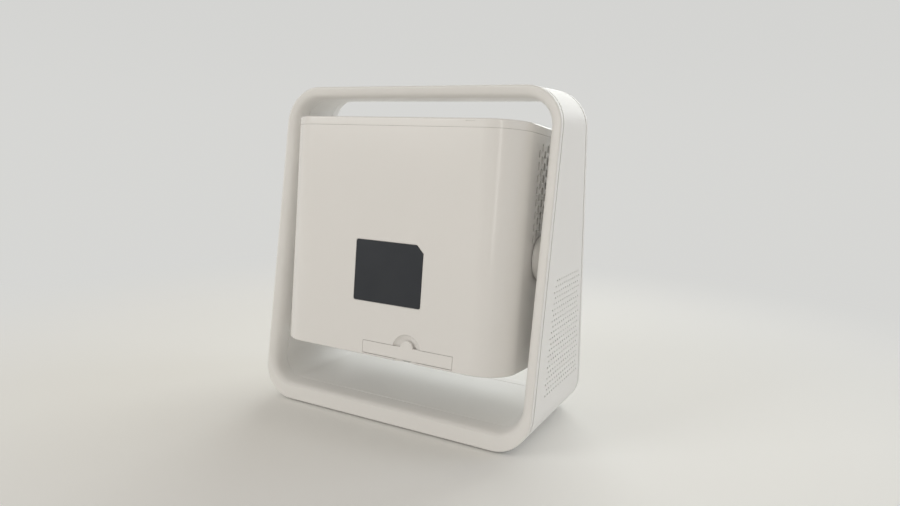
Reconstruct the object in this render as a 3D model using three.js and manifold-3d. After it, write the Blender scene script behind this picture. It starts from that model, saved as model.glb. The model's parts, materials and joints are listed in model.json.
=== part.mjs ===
// Smart projector: a white column that tilts on two side pivots inside a closed loop stand.
// Millimetres, +Z up. The origin is on the floor, under the middle of the object; the lens looks
// towards -Y. The column's own pieces are drawn about its middle, and it tilts about the pivot axis.
import * as THREE from 'three';
import { mergeVertices } from 'three/addons/utils/BufferGeometryUtils.js';
import Module from 'manifold-3d';

const wasm = await Module();
wasm.setup();

// Fits and facets shared by all pieces
const seam = 0.3; // between pieces that touch
const overrun = 1; // how far a cutting tool runs past what it cuts
const cornerSteps = 6; // facets in an outline's corner
const edgeSteps = 2; // facets in a rounded edge
const smallCornerSteps = 2; // facets in a corner of a small outline
const lensSides = 32; // facets round the lens and its ring
const roundSides = 20; // facets round a shaft or a hole
const smallSides = 8; // facets round a small pin or hole

// Loop stand
const loopHalfDepth = 51.35; // at the foot
const rearLean = THREE.MathUtils.degToRad(8.4);
const frontLean = THREE.MathUtils.degToRad(5);
const loopTopCorner = 26;
const loopBottomCorner = 25;
const legThickness = 8.3; // legs and top bar
const baseThickness = 12.7; // bottom bar
const openingBottomCorner = 16;
const rimFace = 1.9; // flat face of the rim on the legs and the top bar
const rimFaceAtBase = 10.1;
const rimFaceBottomCorner = 21;
const rimDepth = 5.4; // from the rim's face to the seam of the outer band
const bevelDepth = 12.5; // from the rim's face to the seam of the inner liner
const bevelFall = 2.4; // how far the bevel falls before it turns into the opening
const bevelPower = 3.5; // squareness of that turn; 2 is an ellipse
const bevelSteps = 5;
const rimEdge = 1.2; // rounding of the rim's outer edge
const rimWall = 1.8; // rim material behind the bevel
const bandWall = 1.8;
const linerWall = 1.6;

// Rubber feet
const footRadius = 7;
const footProud = 1.2;
const footSunk = 0.6; // depth of its seat in the band
const footInsetX = 32; // from the loop's side to the foot's middle
const footInsetY = 13.35;

// Speakers in the legs
const speakerDrop = 48.3; // from the pivot axis down to a speaker's middle
const speakerSetback = 4.45; // from the middle of the leg's depth
const speakerHeight = 66;
const speakerDepth = 46;
const speakerThickness = 3.2;
const speakerCorner = 5;
const speakerConeRadius = 15;
const speakerConeDepth = 1.6;
const speakerDomeRadius = 5;

// Pivot between the loop and the column
const pivotDrop = 5.5; // from the column's middle down to the pivot axis
const gapBesideColumn = 9.7; // between the column and a leg
const gapOverColumn = 17.3; // with the column upright
const gapUnderColumn = 31.3;
const restTilt = THREE.MathUtils.degToRad(5.1); // the lens looks a little down
const bossRadius = 16.3;
const bossEdge = 0.8;
const shaftRadius = 6;
const shaftBore = 3.5; // cable way
const shaftFlangeRadius = 11;
const shaftFlangeThickness = 1.8;
const shaftReach = 22.4; // from the leg's inner wall to the shaft's end
const bushWall = 2;
const bushFlangeRadius = 10.2;
const bushFlangeThickness = 2;
const washerThickness = 1;
const washerRadius = 9.6;
const nutRadius = 9.4; // over its corners
const nutThickness = 4.6;

// Column of the projector
const columnHalfWidth = 90;
const columnHalfDepth = 50;
const columnHalfHeight = 80.2;
const columnCorner = 24;
const columnWall = 2.2;
const columnFootEdge = 1; // rounding of the lower edge
const columnTopEdge = 1.4; // rounding of the upper edge
const partingY = -20; // seam of the front and rear shells on the column's sides
const capDepth = 5.9; // from the column's top to the seam of its cover
const capLipDepth = 3;
const capLipWall = 1.5;
const trayThickness = 2; // bottom cover

// Air slots in both sides
const slotColumns = 6;
const slotRows = 8;
const slotWidth = 2.9;
const slotHeight = 5.2;
const slotPointShare = 0.28; // share of a slot's height taken by its pointed end
const slotPitchY = 4.8;
const slotPitchZ = 7.9;
const slotCentreY = 1.2;
const slotShare = 0.482; // place of their middle between the pivot's nut and the cap's lip

// Rating plate, bare
const plateWidth = 52.7;
const plateHeight = 41.5;
const plateCentreX = -3.35;
const plateCentreZ = -22.6;
const plateCut = 5.2; // cut-off corner
const plateCorner = 1.2;
const plateThickness = 0.3;
const plateProud = 0.1;

// Filter hatch in the rear wall, with a pull tab over a finger scoop
const hatchWidth = 69;
const hatchHeight = 8.3;
const hatchCentreX = -21.3;
const hatchFoot = 1.6; // from the column's foot to the hatch
const hatchThickness = 1.8;
const tabRadius = 4.6;
const scoopRadius = 10.9;
const scoopDepth = 3.2;
const scoopDrop = 2; // from the hatch's top down to the scoop's centre
const scoopWall = 1.6;
const filterThickness = 5.5;

// Lens in the front wall
const lensZ = 22;
const trimDepth = 6;
const trimFlare = 1.5; // how much wider the trim ring is at its mouth
const trimWall = 2;
const trimSunk = 0.4;
const barrelRadius = 26;
const barrelClearance = 0.5; // between the barrel and the trim ring
const barrelWall = 2.4;
const barrelLength = 27;
const barrelInset = 6.5; // from the column's front to the barrel's face
const focusTravel = 2; // each way
const frontLensThickness = 7;
const frontLensInset = 2.5;
const rearLensThickness = 6;
const lensCurve = 2.2; // bulge of each lens face
const lensHousingWall = 2.4;
const sensorWidth = 16;
const sensorHeight = 8;
const sensorX = 52;
const sensorThickness = 1.6;
const focusMotorRadius = 5;
const focusMotorLength = 14;

// Optical engine: light rises from the LED, passes the panel and is folded towards the lens
const engineHalfWidth = 38;
const engineSetback = 33.8; // from the front wall to the engine
const engineHeadroom = 16;
const engineWall = 2;
const condenserGap = 1.6; // over the dome of the LED
const condenserRadius = 26;
const condenserThickness = 7;
const panelThickness = 1.6;
const panelShare = 0.48; // place between the condenser and the mirror's lower edge
const fresnelThickness = 1.2;
const fresnelShare = 0.78;
const mirrorThickness = 1.5;
const mirrorLength = 66;
const ledThickness = 4.5;
const ledHalfWidth = 22;
const ledDomeRadius = 7;
const sinkBase = 3;
const sinkFinHeight = 13;
const sinkFins = 13;
const sinkFinThickness = 1.2;
const sinkClearance = 5.3; // over the boards

// Side fans
const fanSize = 50;
const fanDepth = 15;
const fanCorner = 4;
const fanBore = 23.5;
const fanHubRadius = 9;
const fanBlades = 7;
const fanBladeThickness = 1.4;
const fanBladePitch = THREE.MathUtils.degToRad(38);
const fanTipGap = 1;
const fanSpokes = 4;
const fanSpokeWidth = 2.4;
const fanSpokeDepth = 2.2;
const fanPinRadius = 2;

// Boards on the bottom cover
const boardThickness = 1.6;
const boardLift = 10.2; // from the cover to the boards' underside
const boardEndMargin = 11.8; // from the front and rear walls
const boardSideMargin = 13.8;
const boardSplit = 9; // middle of the gap between the boards
const boardGap = 6;
const standoffRadius = 3;
const standoffInset = 6;

// Sockets under the main board, and the mains inlet under the power board
const socketSetback = 16; // from the boards' rear edge
const socketRecess = 0.5;
const hdmiWidth = 15;
const hdmiHeight = 5.6;
const hdmiInset = 16; // from the main board's edge
const usbWidth = 13.4;
const usbHeight = 6.4;
const usbSpacing = 22; // from the HDMI socket
const audioRadius = 4;
const audioBore = 1.8;
const audioSpacing = 20; // from the USB socket
const inletWidth = 19;
const inletHeight = 11;
const inletInset = 28; // from the power board's edge
const inletRecess = 8;
const inletPinRadius = 1.2;
const inletPinSpread = 4.3;
const socketWall = 1;
const socketDepth = 7;

// Screws of the bottom cover
const screwHeadRadius = 2.8;
const screwHeadDepth = 1.2;
const screwRadius = 1.4;
const screwLength = 8;
const screwInset = 9;

// Power button in the top cover
const buttonRadius = 8;
const buttonThickness = 4;
const buttonSunk = 0.3;
const buttonGuideWall = 1.6;

// Worked out from the sizes above
const loopBottom = footProud;
const pivotHeight = baseThickness + gapUnderColumn + columnHalfHeight - pivotDrop;
const pivotZ = loopBottom + pivotHeight;
const loopTop = pivotZ + pivotDrop + columnHalfHeight + gapOverColumn + legThickness;
const openingHalfWidth = columnHalfWidth + gapBesideColumn;
const loopHalfWidth = openingHalfWidth + legThickness;
const footSpreadX = loopHalfWidth - footInsetX;
const footSpreadY = loopHalfDepth - footInsetY;
const innerHalfWidth = columnHalfWidth - columnWall;
const innerHalfDepth = columnHalfDepth - columnWall;
const shellTop = columnHalfHeight - capDepth;
const trayTop = -columnHalfHeight + trayThickness;
const hatchBottom = -columnHalfHeight + hatchFoot;
const hatchTop = hatchBottom + hatchHeight;
const slotCentreZ = THREE.MathUtils.lerp(nutRadius - pivotDrop, shellTop - capLipDepth, slotShare);
const lensOpening = barrelRadius + barrelClearance + trimFlare + trimWall;
const engineFront = -innerHalfDepth + engineSetback;
const boardZ = trayTop + boardLift + boardThickness; // top face
const boardHalfDepth = innerHalfDepth - boardEndMargin;
const mainBoardLeft = -innerHalfWidth + boardSideMargin;
const mainBoardRight = boardSplit - boardGap / 2;
const powerBoardLeft = boardSplit + boardGap / 2;
const powerBoardRight = innerHalfWidth - boardSideMargin;
const socketY = boardHalfDepth - socketSetback;
const hdmiX = mainBoardLeft + hdmiInset;
const usbX = hdmiX + usbSpacing;
const audioX = usbX + audioSpacing;
const inletX = powerBoardRight - inletInset;

// Colours and finishes
const finish = (color, roughness, metalness = 0) => ({ color, roughness, metalness });
const finishes = {
  shell: finish(0xefedea, 0.38),
  loop: finish(0xeeecea, 0.42),
  plate: finish(0x23272f, 0.5),
  rubber: finish(0x2a2a2b, 0.85),
  dark: finish(0x26272a, 0.5),
  steel: finish(0xb9bcc0, 0.35, 0.9),
  aluminium: finish(0xc9ccd0, 0.4, 0.85),
  glass: finish(0xcfe0ea, 0.05),
  board: finish(0x1f5a3a, 0.6),
  foam: finish(0x4b4d50, 0.95),
  paleGrey: finish(0xd9d9d7, 0.5),
};

// Solids from three.js geometry, and back

function solid(geometry) {
  const bare = geometry.clone();
  bare.deleteAttribute('normal');
  bare.deleteAttribute('uv');
  const merged = mergeVertices(bare, 1e-4);
  const mesh = new wasm.Mesh({
    numProp: 3,
    vertProperties: new Float32Array(merged.attributes.position.array),
    triVerts: new Uint32Array(merged.index.array),
  });
  const made = new wasm.Manifold(mesh);
  if (made.volume() > 0) return made;
  const turned = new Uint32Array(merged.index.array).reverse();
  return new wasm.Manifold(new wasm.Mesh({
    numProp: 3,
    vertProperties: mesh.vertProperties,
    triVerts: turned,
  }));
}

function geometryOf(made) {
  const { vertProperties, triVerts } = made.getMesh();
  const geometry = new THREE.BufferGeometry();
  geometry.setAttribute('position', new THREE.BufferAttribute(vertProperties, 3));
  geometry.setIndex(new THREE.BufferAttribute(triVerts, 1));
  geometry.computeVertexNormals();
  return geometry;
}

const join = (...pieces) => pieces.flat().reduce((sum, piece) => sum.add(piece));
const cut = (body, ...tools) => tools.flat().reduce((rest, tool) => rest.subtract(tool), body);
const span = (count) => Array.from({ length: count }, (_, index) => index);
const mix = THREE.MathUtils.lerp;

// Box from its lowest corner to its highest one
function block([x0, y0, z0], [x1, y1, z1]) {
  const box = new THREE.BoxGeometry(x1 - x0, y1 - y0, z1 - z0);
  return solid(box.translate((x0 + x1) / 2, (y0 + y1) / 2, (z0 + z1) / 2));
}

// Turn a shape drawn along Z so that it runs along X, or along Y
const alongX = (geometry) => geometry.rotateY(Math.PI / 2);
const alongY = (geometry) => geometry.rotateX(-Math.PI / 2);

// Revolved solid from [radius, height] points that start and end on the axis or close a ring.
// It stands along Z.
function revolve(points, sides = roundSides) {
  const closed = points[0][0] === 0 ? points : [...points, points[0]];
  const profile = closed.map(([radius, height]) => new THREE.Vector2(radius, height));
  return new THREE.LatheGeometry(profile, sides).rotateX(Math.PI / 2);
}

// Plain round bar from one height to another along Z
function bar(radius, from, to, sides = roundSides) {
  return revolve([[0, from], [radius, from], [radius, to], [0, to]], sides);
}

function tube(outer, inner, from, to, sides = roundSides) {
  return revolve([[inner, from], [outer, from], [outer, to], [inner, to]], sides);
}

// Flat outline pushed up from one height to another along Z
function prism(shape, from, to, steps = smallCornerSteps) {
  const options = { depth: to - from, bevelEnabled: false, curveSegments: steps };
  return new THREE.ExtrudeGeometry(shape, options).translate(0, 0, from);
}

function roundedRect(width, height, corner) {
  const x = width / 2;
  const y = height / 2;
  const shape = new THREE.Shape();
  shape.absarc(x - corner, y - corner, corner, 0, Math.PI / 2);
  shape.absarc(-x + corner, y - corner, corner, Math.PI / 2, Math.PI);
  shape.absarc(-x + corner, -y + corner, corner, Math.PI, Math.PI * 1.5);
  shape.absarc(x - corner, -y + corner, corner, Math.PI * 1.5, Math.PI * 2);
  return shape;
}

// Points on a quarter turn, from the given angle on
function quarter(x, y, radius, start) {
  return span(cornerSteps + 1).map((step) => {
    const angle = start + (step / cornerSteps) * (Math.PI / 2);
    return [x + radius * Math.cos(angle), y + radius * Math.sin(angle)];
  });
}

// Solid through closed curves with as many points each: curve after curve, with the last joined
// to the first where it is a ring, or with both end curves capped where it is a stack.
function loft(curves, ring) {
  const count = curves[0].length;
  const points = curves.flat(2);
  const faces = [];
  const joined = ring ? curves.length : curves.length - 1;
  for (let row = 0; row < joined; row += 1) {
    const next = (row + 1) % curves.length;
    for (let step = 0; step < count; step += 1) {
      const after = (step + 1) % count;
      const [a, b] = [row * count + step, row * count + after];
      const [c, d] = [next * count + step, next * count + after];
      faces.push(a, b, d, a, d, c);
    }
  }
  if (!ring) {
    const last = (curves.length - 1) * count;
    for (let step = 1; step < count - 1; step += 1) {
      faces.push(0, step + 1, step, last, last + step, last + step + 1);
    }
  }
  const geometry = new THREE.BufferGeometry();
  geometry.setAttribute('position', new THREE.Float32BufferAttribute(points, 3));
  geometry.setIndex(faces);
  return solid(geometry);
}

// Loop stand

const rearAt = (z) => loopHalfDepth - Math.tan(rearLean) * (z - loopBottom);
const frontAt = (z) => -loopHalfDepth + Math.tan(frontLean) * (z - loopBottom);

// Outline of the loop in the X-Z plane, set in from its outer edge
function loopOutline(side, base, topCorner, bottomCorner) {
  const half = loopHalfWidth - side;
  const low = loopBottom + base;
  const high = loopTop - side;
  return [
    ...quarter(half - bottomCorner, low + bottomCorner, bottomCorner, -Math.PI / 2),
    ...quarter(half - topCorner, high - topCorner, topCorner, 0),
    ...quarter(-half + topCorner, high - topCorner, topCorner, Math.PI / 2),
    ...quarter(-half + bottomCorner, low + bottomCorner, bottomCorner, Math.PI),
  ];
}

// The outline set in by one depth all round, as the walls of the outer band are
const bandOutline = (inset) =>
  loopOutline(inset, inset, loopTopCorner - inset, loopBottomCorner - inset);

// The outline between the rim's flat face (share 0) and the loop's opening (share 1)
function bevelOutline(share) {
  return loopOutline(
    mix(rimFace, legThickness, share),
    mix(rimFaceAtBase, baseThickness, share),
    loopTopCorner - mix(rimFace, legThickness, share),
    mix(rimFaceBottomCorner, openingBottomCorner, share),
  );
}

// The opening's outline moved outwards into the loop's material
const openingOutline = (outset) => loopOutline(
  legThickness - outset,
  baseThickness - outset,
  loopTopCorner - legThickness + outset,
  openingBottomCorner + outset,
);

// An outline stood at a depth behind the rear face, or behind the front face
const behindRear = (outline, depth) => outline.map(([x, z]) => [x, rearAt(z) - depth, z]);
const behindFront = (outline, depth) => outline.map(([x, z]) => [x, frontAt(z) + depth, z]);

function rim(stand) {
  const roundedEdge = span(edgeSteps + 1).map((step) => {
    const angle = (step / edgeSteps) * (Math.PI / 2);
    const inset = rimEdge * (1 - Math.cos(angle));
    return stand(bandOutline(inset), rimEdge * (1 - Math.sin(angle)));
  });
  const bevel = span(bevelSteps + 1).map((step) => {
    const angle = (step / bevelSteps) * (Math.PI / 2);
    const across = Math.sin(angle) ** (2 / bevelPower);
    const turned = 1 - Math.cos(angle) ** (2 / bevelPower);
    return stand(bevelOutline(across), bevelFall * across + (bevelDepth - bevelFall) * turned);
  });
  return loft([
    stand(bandOutline(0), rimDepth),
    ...roundedEdge,
    ...bevel,
    stand(openingOutline(rimWall), bevelDepth),
    stand(bevelOutline(0), rimDepth),
  ], true);
}

function footSpots() {
  return [-1, 1].flatMap((x) => [-1, 1].map((y) => [x * footSpreadX, y * footSpreadY]));
}

function outerBand() {
  const start = rimDepth + seam;
  const shell = loft([
    behindFront(bandOutline(0), start),
    behindRear(bandOutline(0), start),
    behindRear(bandOutline(bandWall), start),
    behindFront(bandOutline(bandWall), start),
  ], true);
  const seats = footSpots().map(([x, y]) => {
    const seat = bar(footRadius + seam, loopBottom - overrun, loopBottom + footSunk);
    return solid(seat.translate(x, y, 0));
  });
  return cut(shell, seats);
}

function innerLiner() {
  const start = bevelDepth + seam;
  const shell = loft([
    behindFront(openingOutline(linerWall), start),
    behindRear(openingOutline(linerWall), start),
    behindRear(openingOutline(0), start),
    behindFront(openingOutline(0), start),
  ], true);
  const reach = loopHalfWidth;
  const hole = alongX(bar(shaftRadius + seam, -reach, reach)).translate(0, 0, pivotZ);
  return cut(shell, solid(hole));
}

function foot(x, y) {
  return solid(bar(footRadius, 0, footProud + footSunk - seam).translate(x, y, 0));
}

// Slim speaker of a leg, drawn on the +X side: a shallow cone with a dome, facing outwards
function speaker(side) {
  const outer = loopHalfWidth - bandWall - seam;
  const inner = outer - speakerThickness;
  const z = pivotZ - speakerDrop;
  const y = (frontAt(z) + rearAt(z)) / 2 - speakerSetback;
  const box = prism(roundedRect(speakerHeight, speakerDepth, speakerCorner), inner, outer);
  const cone = revolve([
    [0, outer + overrun],
    [speakerConeRadius, outer + overrun],
    [speakerConeRadius, outer],
    [speakerDomeRadius, outer - speakerConeDepth],
    [0, outer - speakerConeDepth / 2],
  ], roundSides);
  const made = cut(solid(alongX(box)), solid(alongX(cone)));
  const placed = made.translate([0, y, z]);
  return side > 0 ? placed : placed.mirror([1, 0, 0]);
}

// Pivot pieces, drawn along +X about the pivot axis

function pivotBoss() {
  const from = columnHalfWidth + 2 * seam;
  const to = openingHalfWidth - seam;
  return alongX(revolve([
    [shaftRadius + seam, from],
    [bossRadius - bossEdge, from],
    [bossRadius, from + bossEdge],
    [bossRadius, to],
    [shaftRadius + seam, to],
  ]));
}

function pivotShaft() {
  const seat = openingHalfWidth + linerWall + seam;
  return alongX(revolve([
    [shaftBore, openingHalfWidth - shaftReach],
    [shaftRadius, openingHalfWidth - shaftReach],
    [shaftRadius, seat],
    [shaftFlangeRadius, seat],
    [shaftFlangeRadius, seat + shaftFlangeThickness],
    [shaftBore, seat + shaftFlangeThickness],
  ]));
}

const bushEnd = innerHalfWidth - seam - bushFlangeThickness;
const washerEnd = bushEnd - seam - washerThickness;
const nutEnd = washerEnd - seam - nutThickness;

function pivotBush() {
  const inner = shaftRadius + seam;
  return alongX(revolve([
    [inner, bushEnd],
    [bushFlangeRadius, bushEnd],
    [bushFlangeRadius, innerHalfWidth - seam],
    [inner + bushWall, innerHalfWidth - seam],
    [inner + bushWall, columnHalfWidth],
    [inner, columnHalfWidth],
  ]));
}

const pivotWasher = () =>
  alongX(tube(washerRadius, shaftRadius + seam, washerEnd, washerEnd + washerThickness));

function pivotNut() {
  const nut = solid(alongX(bar(nutRadius, nutEnd, nutEnd + nutThickness, 6)));
  const hole = alongX(bar(shaftRadius + seam, nutEnd - overrun, washerEnd + overrun));
  return cut(nut, solid(hole));
}

// Column shells, drawn about the column's middle

function columnOutline(inset) {
  const x = columnHalfWidth - inset;
  const y = columnHalfDepth - inset;
  const corner = columnCorner - inset;
  return [
    ...quarter(x - corner, -y + corner, corner, -Math.PI / 2),
    ...quarter(x - corner, y - corner, corner, 0),
    ...quarter(-x + corner, y - corner, corner, Math.PI / 2),
    ...quarter(-x + corner, -y + corner, corner, Math.PI),
  ];
}

const columnCurve = (inset, z) => columnOutline(inset).map(([x, y]) => [x, y, z]);
const columnBlock = (inset, from, to) =>
  loft([columnCurve(inset, from), columnCurve(inset, to)], false);

// Stack of curves that rounds the outer edge at an end of the column: direction is +1 upwards
function edgeCurves(inset, edge, end, direction) {
  const curves = span(edgeSteps + 1).map((step) => {
    const angle = (step / edgeSteps) * (Math.PI / 2);
    const height = end - direction * edge * (1 - Math.cos(angle));
    return columnCurve(inset + edge * (1 - Math.sin(angle)), height);
  });
  return direction > 0 ? curves.reverse() : curves;
}

function columnTube() {
  const outside = loft([
    ...edgeCurves(0, columnFootEdge, -columnHalfHeight, -1),
    columnCurve(0, shellTop),
  ], false);
  const inside = columnBlock(columnWall, -columnHalfHeight - overrun, shellTop + overrun);
  return cut(outside, inside);
}

// Half of space in front of (-1) or behind (+1) a plane across the column
function halfSpace(y, direction) {
  const far = direction * 2 * columnHalfDepth;
  const reach = columnHalfWidth + columnHalfHeight;
  const [low, high] = [Math.min(y, far), Math.max(y, far)];
  return block([-reach, low, -reach], [reach, high, reach]);
}

// Middles of the air slots: staggered columns, less those that the pivot's boss would cover
function slotSpots() {
  const middle = (slotColumns - 1) / 2;
  const spots = span(slotColumns).flatMap((column) => span(slotRows).map((row) => {
    const stagger = (column % 2 - 1 / 2) * slotPitchZ / 2;
    const z = slotCentreZ + (row - (slotRows - 1) / 2) * slotPitchZ + stagger;
    return [slotCentreY + (middle - column) * slotPitchY, z];
  }));
  return spots.filter(([y, z]) => Math.hypot(y, z + pivotDrop) > bossRadius);
}

// Air slot: an upright hexagon with pointed ends, cut from side to side of the column
function slotTool(y, z) {
  const x = slotWidth / 2;
  const tip = slotHeight / 2;
  const shoulder = tip - slotPointShare * slotHeight;
  const shape = new THREE.Shape([
    new THREE.Vector2(tip, 0),
    new THREE.Vector2(shoulder, x),
    new THREE.Vector2(-shoulder, x),
    new THREE.Vector2(-tip, 0),
    new THREE.Vector2(-shoulder, -x),
    new THREE.Vector2(shoulder, -x),
  ]);
  const reach = columnHalfWidth + overrun;
  return solid(alongX(prism(shape, -reach, reach)).translate(0, y, z));
}

// Outline of the rating plate in the X-Z plane, grown all round
function plateShape(grow) {
  const x = plateWidth / 2 + grow;
  const z = plateHeight / 2 + grow;
  const r = plateCorner;
  const shape = new THREE.Shape();
  shape.moveTo(-x + plateCut, z);
  shape.lineTo(-x, z - plateCut);
  shape.absarc(-x + r, -z + r, r, Math.PI, Math.PI * 1.5);
  shape.absarc(x - r, -z + r, r, Math.PI * 1.5, Math.PI * 2);
  shape.absarc(x - r, z - r, r, 0, Math.PI / 2);
  return shape;
}

// A shape drawn in the X-Z plane, pushed along +Y from one depth to another
function upright(shape, from, to, steps) {
  return prism(shape, -to, -from, steps).rotateX(Math.PI / 2);
}

function plateBlock(grow, from, to) {
  return solid(upright(plateShape(grow), from, to).translate(plateCentreX, 0, plateCentreZ));
}

// Outline of the hatch with its half-round tab, grown all round, with its middle foot at zero
function hatchShape(grow) {
  const x = hatchWidth / 2 + grow;
  const shape = new THREE.Shape();
  shape.moveTo(-x, -grow);
  shape.lineTo(x, -grow);
  shape.lineTo(x, hatchHeight + grow);
  shape.absarc(0, hatchHeight + grow, tabRadius + grow, 0, Math.PI);
  shape.lineTo(-x, hatchHeight + grow);
  return shape;
}

const hatchInner = columnHalfDepth - hatchThickness;

function scoopBall(grow) {
  const radius = scoopRadius + grow;
  const depth = scoopDepth + grow;
  const ball = new THREE.SphereGeometry(radius, roundSides, smallSides);
  ball.scale(1, depth / radius, 1);
  return solid(ball.translate(hatchCentreX, columnHalfDepth, hatchTop - scoopDrop));
}

function rearShell() {
  const keep = halfSpace(partingY + seam / 2, 1);
  const clearOfHatch = block(
    [-columnHalfWidth, -columnHalfDepth, -2 * columnHalfHeight],
    [columnHalfWidth, 2 * columnHalfDepth, hatchTop + seam],
  );
  const dishWall = scoopBall(scoopWall).subtract(halfSpace(innerHalfDepth + seam, 1));
  const body = columnTube().intersect(keep).add(dishWall.subtract(clearOfHatch));
  const opening = upright(
    hatchShape(seam),
    innerHalfDepth - overrun,
    columnHalfDepth + overrun,
    cornerSteps,
  );
  const hatchOpening = block(
    [hatchCentreX - hatchWidth / 2 - seam, innerHalfDepth - overrun, hatchBottom - seam],
    [hatchCentreX + hatchWidth / 2 + seam, columnHalfDepth + overrun, hatchTop + seam],
  );
  const tabPocket = solid(opening.translate(hatchCentreX, 0, hatchBottom))
    .intersect(halfSpace(hatchInner - seam, 1));
  const plateDepth = columnHalfDepth + plateProud - plateThickness - seam;
  const reach = columnHalfWidth + overrun;
  const pivotHole = alongX(bar(shaftRadius + 2 * seam + bushWall, -reach, reach))
    .translate(0, 0, -pivotDrop);
  return cut(
    body,
    slotSpots().map(([y, z]) => slotTool(y, z)),
    plateBlock(seam, plateDepth, columnHalfDepth + overrun),
    hatchOpening,
    tabPocket,
    scoopBall(0),
    solid(pivotHole),
  );
}

const lensSpot = (geometry) => geometry.translate(0, 0, lensZ);

function sensorBlock(grow, from, to) {
  const shape = roundedRect(sensorWidth + 2 * grow, sensorHeight + 2 * grow, sensorHeight / 2);
  return solid(upright(shape, from, to).translate(sensorX, 0, lensZ));
}

function frontShell() {
  const keep = halfSpace(partingY - seam / 2, -1);
  const opening = alongY(bar(
    lensOpening + seam,
    innerHalfDepth - overrun,
    columnHalfDepth + overrun,
    lensSides,
  ));
  const front = -columnHalfDepth - overrun;
  return cut(
    columnTube().intersect(keep),
    solid(lensSpot(opening).rotateZ(Math.PI)),
    sensorBlock(seam, front, -columnHalfDepth + columnWall + overrun),
  );
}

function topCover() {
  const outside = loft([
    columnCurve(0, shellTop + seam),
    ...edgeCurves(0, columnTopEdge, columnHalfHeight, 1),
  ], false);
  const ceiling = columnHalfHeight - columnWall;
  const hollow = columnBlock(columnWall, shellTop - capLipDepth - overrun, ceiling);
  const lipOuter = columnWall + seam;
  const lip = columnBlock(lipOuter, shellTop - capLipDepth, ceiling + columnWall / 2)
    .subtract(columnBlock(lipOuter + capLipWall, shellTop - capLipDepth - overrun, ceiling));
  const guideRadius = buttonRadius + seam + buttonGuideWall;
  const guide = solid(bar(guideRadius, ceiling - buttonThickness, ceiling + columnWall / 2));
  const hole = bar(buttonRadius + seam, ceiling - 2 * buttonThickness, columnHalfHeight + overrun);
  return cut(join(outside.subtract(hollow), lip, guide), solid(hole));
}

function standoffSpots(left, right) {
  return [left + standoffInset, right - standoffInset].flatMap((x) =>
    [-boardHalfDepth + standoffInset, boardHalfDepth - standoffInset].map((y) => [x, y]));
}

function screwSpots() {
  const x = columnHalfWidth - columnWall - screwInset;
  const y = columnHalfDepth - columnWall - screwInset;
  return [-1, 1].flatMap((sideX) => [-1, 1].map((sideY) => [sideX * x, sideY * y]));
}

function bottomCover() {
  const plate = columnBlock(columnWall + seam, -columnHalfHeight, trayTop);
  const spots = [
    ...standoffSpots(mainBoardLeft, mainBoardRight),
    ...standoffSpots(powerBoardLeft, powerBoardRight),
  ];
  const posts = spots.map(([x, y]) => {
    const top = boardZ - boardThickness - seam;
    const post = bar(standoffRadius, trayTop - trayThickness / 2, top, smallSides);
    return solid(post.translate(x, y, 0));
  });
  const low = -columnHalfHeight - overrun;
  const high = trayTop + overrun;
  const window = (x, width, height) => solid(
    prism(roundedRect(width + 2 * seam, height + 2 * seam, seam), low, high).translate(x, socketY, 0),
  );
  const audioHole = bar(audioRadius + seam, low, high, smallSides).translate(audioX, socketY, 0);
  const screwHoles = screwSpots().map(([x, y]) => solid(revolve([
    [0, low],
    [screwHeadRadius + seam, low],
    [screwHeadRadius + seam, -columnHalfHeight + screwHeadDepth + seam],
    [screwRadius + seam, -columnHalfHeight + screwHeadDepth + seam],
    [screwRadius + seam, high],
    [0, high],
  ], smallSides).translate(x, y, 0)));
  return cut(
    join(plate, posts),
    window(hdmiX, hdmiWidth, hdmiHeight),
    window(usbX, usbWidth, usbHeight),
    window(inletX, inletWidth, inletHeight),
    solid(audioHole),
    screwHoles,
  );
}

function screw(x, y) {
  const head = -columnHalfHeight;
  return solid(revolve([
    [0, head],
    [screwHeadRadius, head],
    [screwHeadRadius, head + screwHeadDepth],
    [screwRadius, head + screwHeadDepth],
    [screwRadius, head + screwLength],
    [0, head + screwLength],
  ], smallSides).translate(x, y, 0));
}

// Rear pieces

const ratingPlate = () =>
  plateBlock(0, columnHalfDepth + plateProud - plateThickness, columnHalfDepth + plateProud);

function filterHatch() {
  const panel = solid(upright(hatchShape(0), hatchInner, columnHalfDepth, cornerSteps)
    .translate(hatchCentreX, 0, hatchBottom));
  const radius = hatchThickness / 2;
  const centre = columnHalfDepth - radius;
  const reach = hatchWidth / 2 + overrun;
  const corner = block(
    [hatchCentreX - reach, centre - 2 * radius, hatchBottom - overrun],
    [hatchCentreX + reach, centre + 2 * radius, hatchBottom + radius],
  );
  const edge = alongX(bar(radius, -reach, reach, smallSides))
    .translate(hatchCentreX, centre, hatchBottom + radius);
  return cut(panel, corner.subtract(solid(edge)));
}

function dustFilter() {
  const rear = innerHalfDepth - seam;
  const half = hatchWidth / 2;
  return block(
    [hatchCentreX - half, rear - filterThickness, trayTop + seam],
    [hatchCentreX + half, rear, hatchTop - seam],
  );
}

// Front pieces, drawn along Y about the lens axis

const frontward = (geometry) => lensSpot(alongY(geometry).rotateZ(Math.PI));

function lensTrim() {
  const mouth = columnHalfDepth - trimSunk;
  const inner = lensOpening - trimWall - trimFlare;
  return solid(frontward(revolve([
    [inner, mouth - trimDepth],
    [lensOpening, mouth - trimDepth],
    [lensOpening, mouth],
    [lensOpening - trimWall, mouth],
  ], lensSides)));
}

function lensProfile(radius, from, thickness) {
  const face = (height, bulge) => span(edgeSteps + 1).map((step) => {
    const share = step / edgeSteps;
    return [radius * share, height + bulge * (1 - share * share)];
  });
  const back = face(from + lensCurve, -lensCurve);
  const front = face(from + thickness - lensCurve, lensCurve).reverse();
  return [...back, ...front];
}

const barrelFace = columnHalfDepth - barrelInset;
const barrelBore = barrelRadius - barrelWall;

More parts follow.
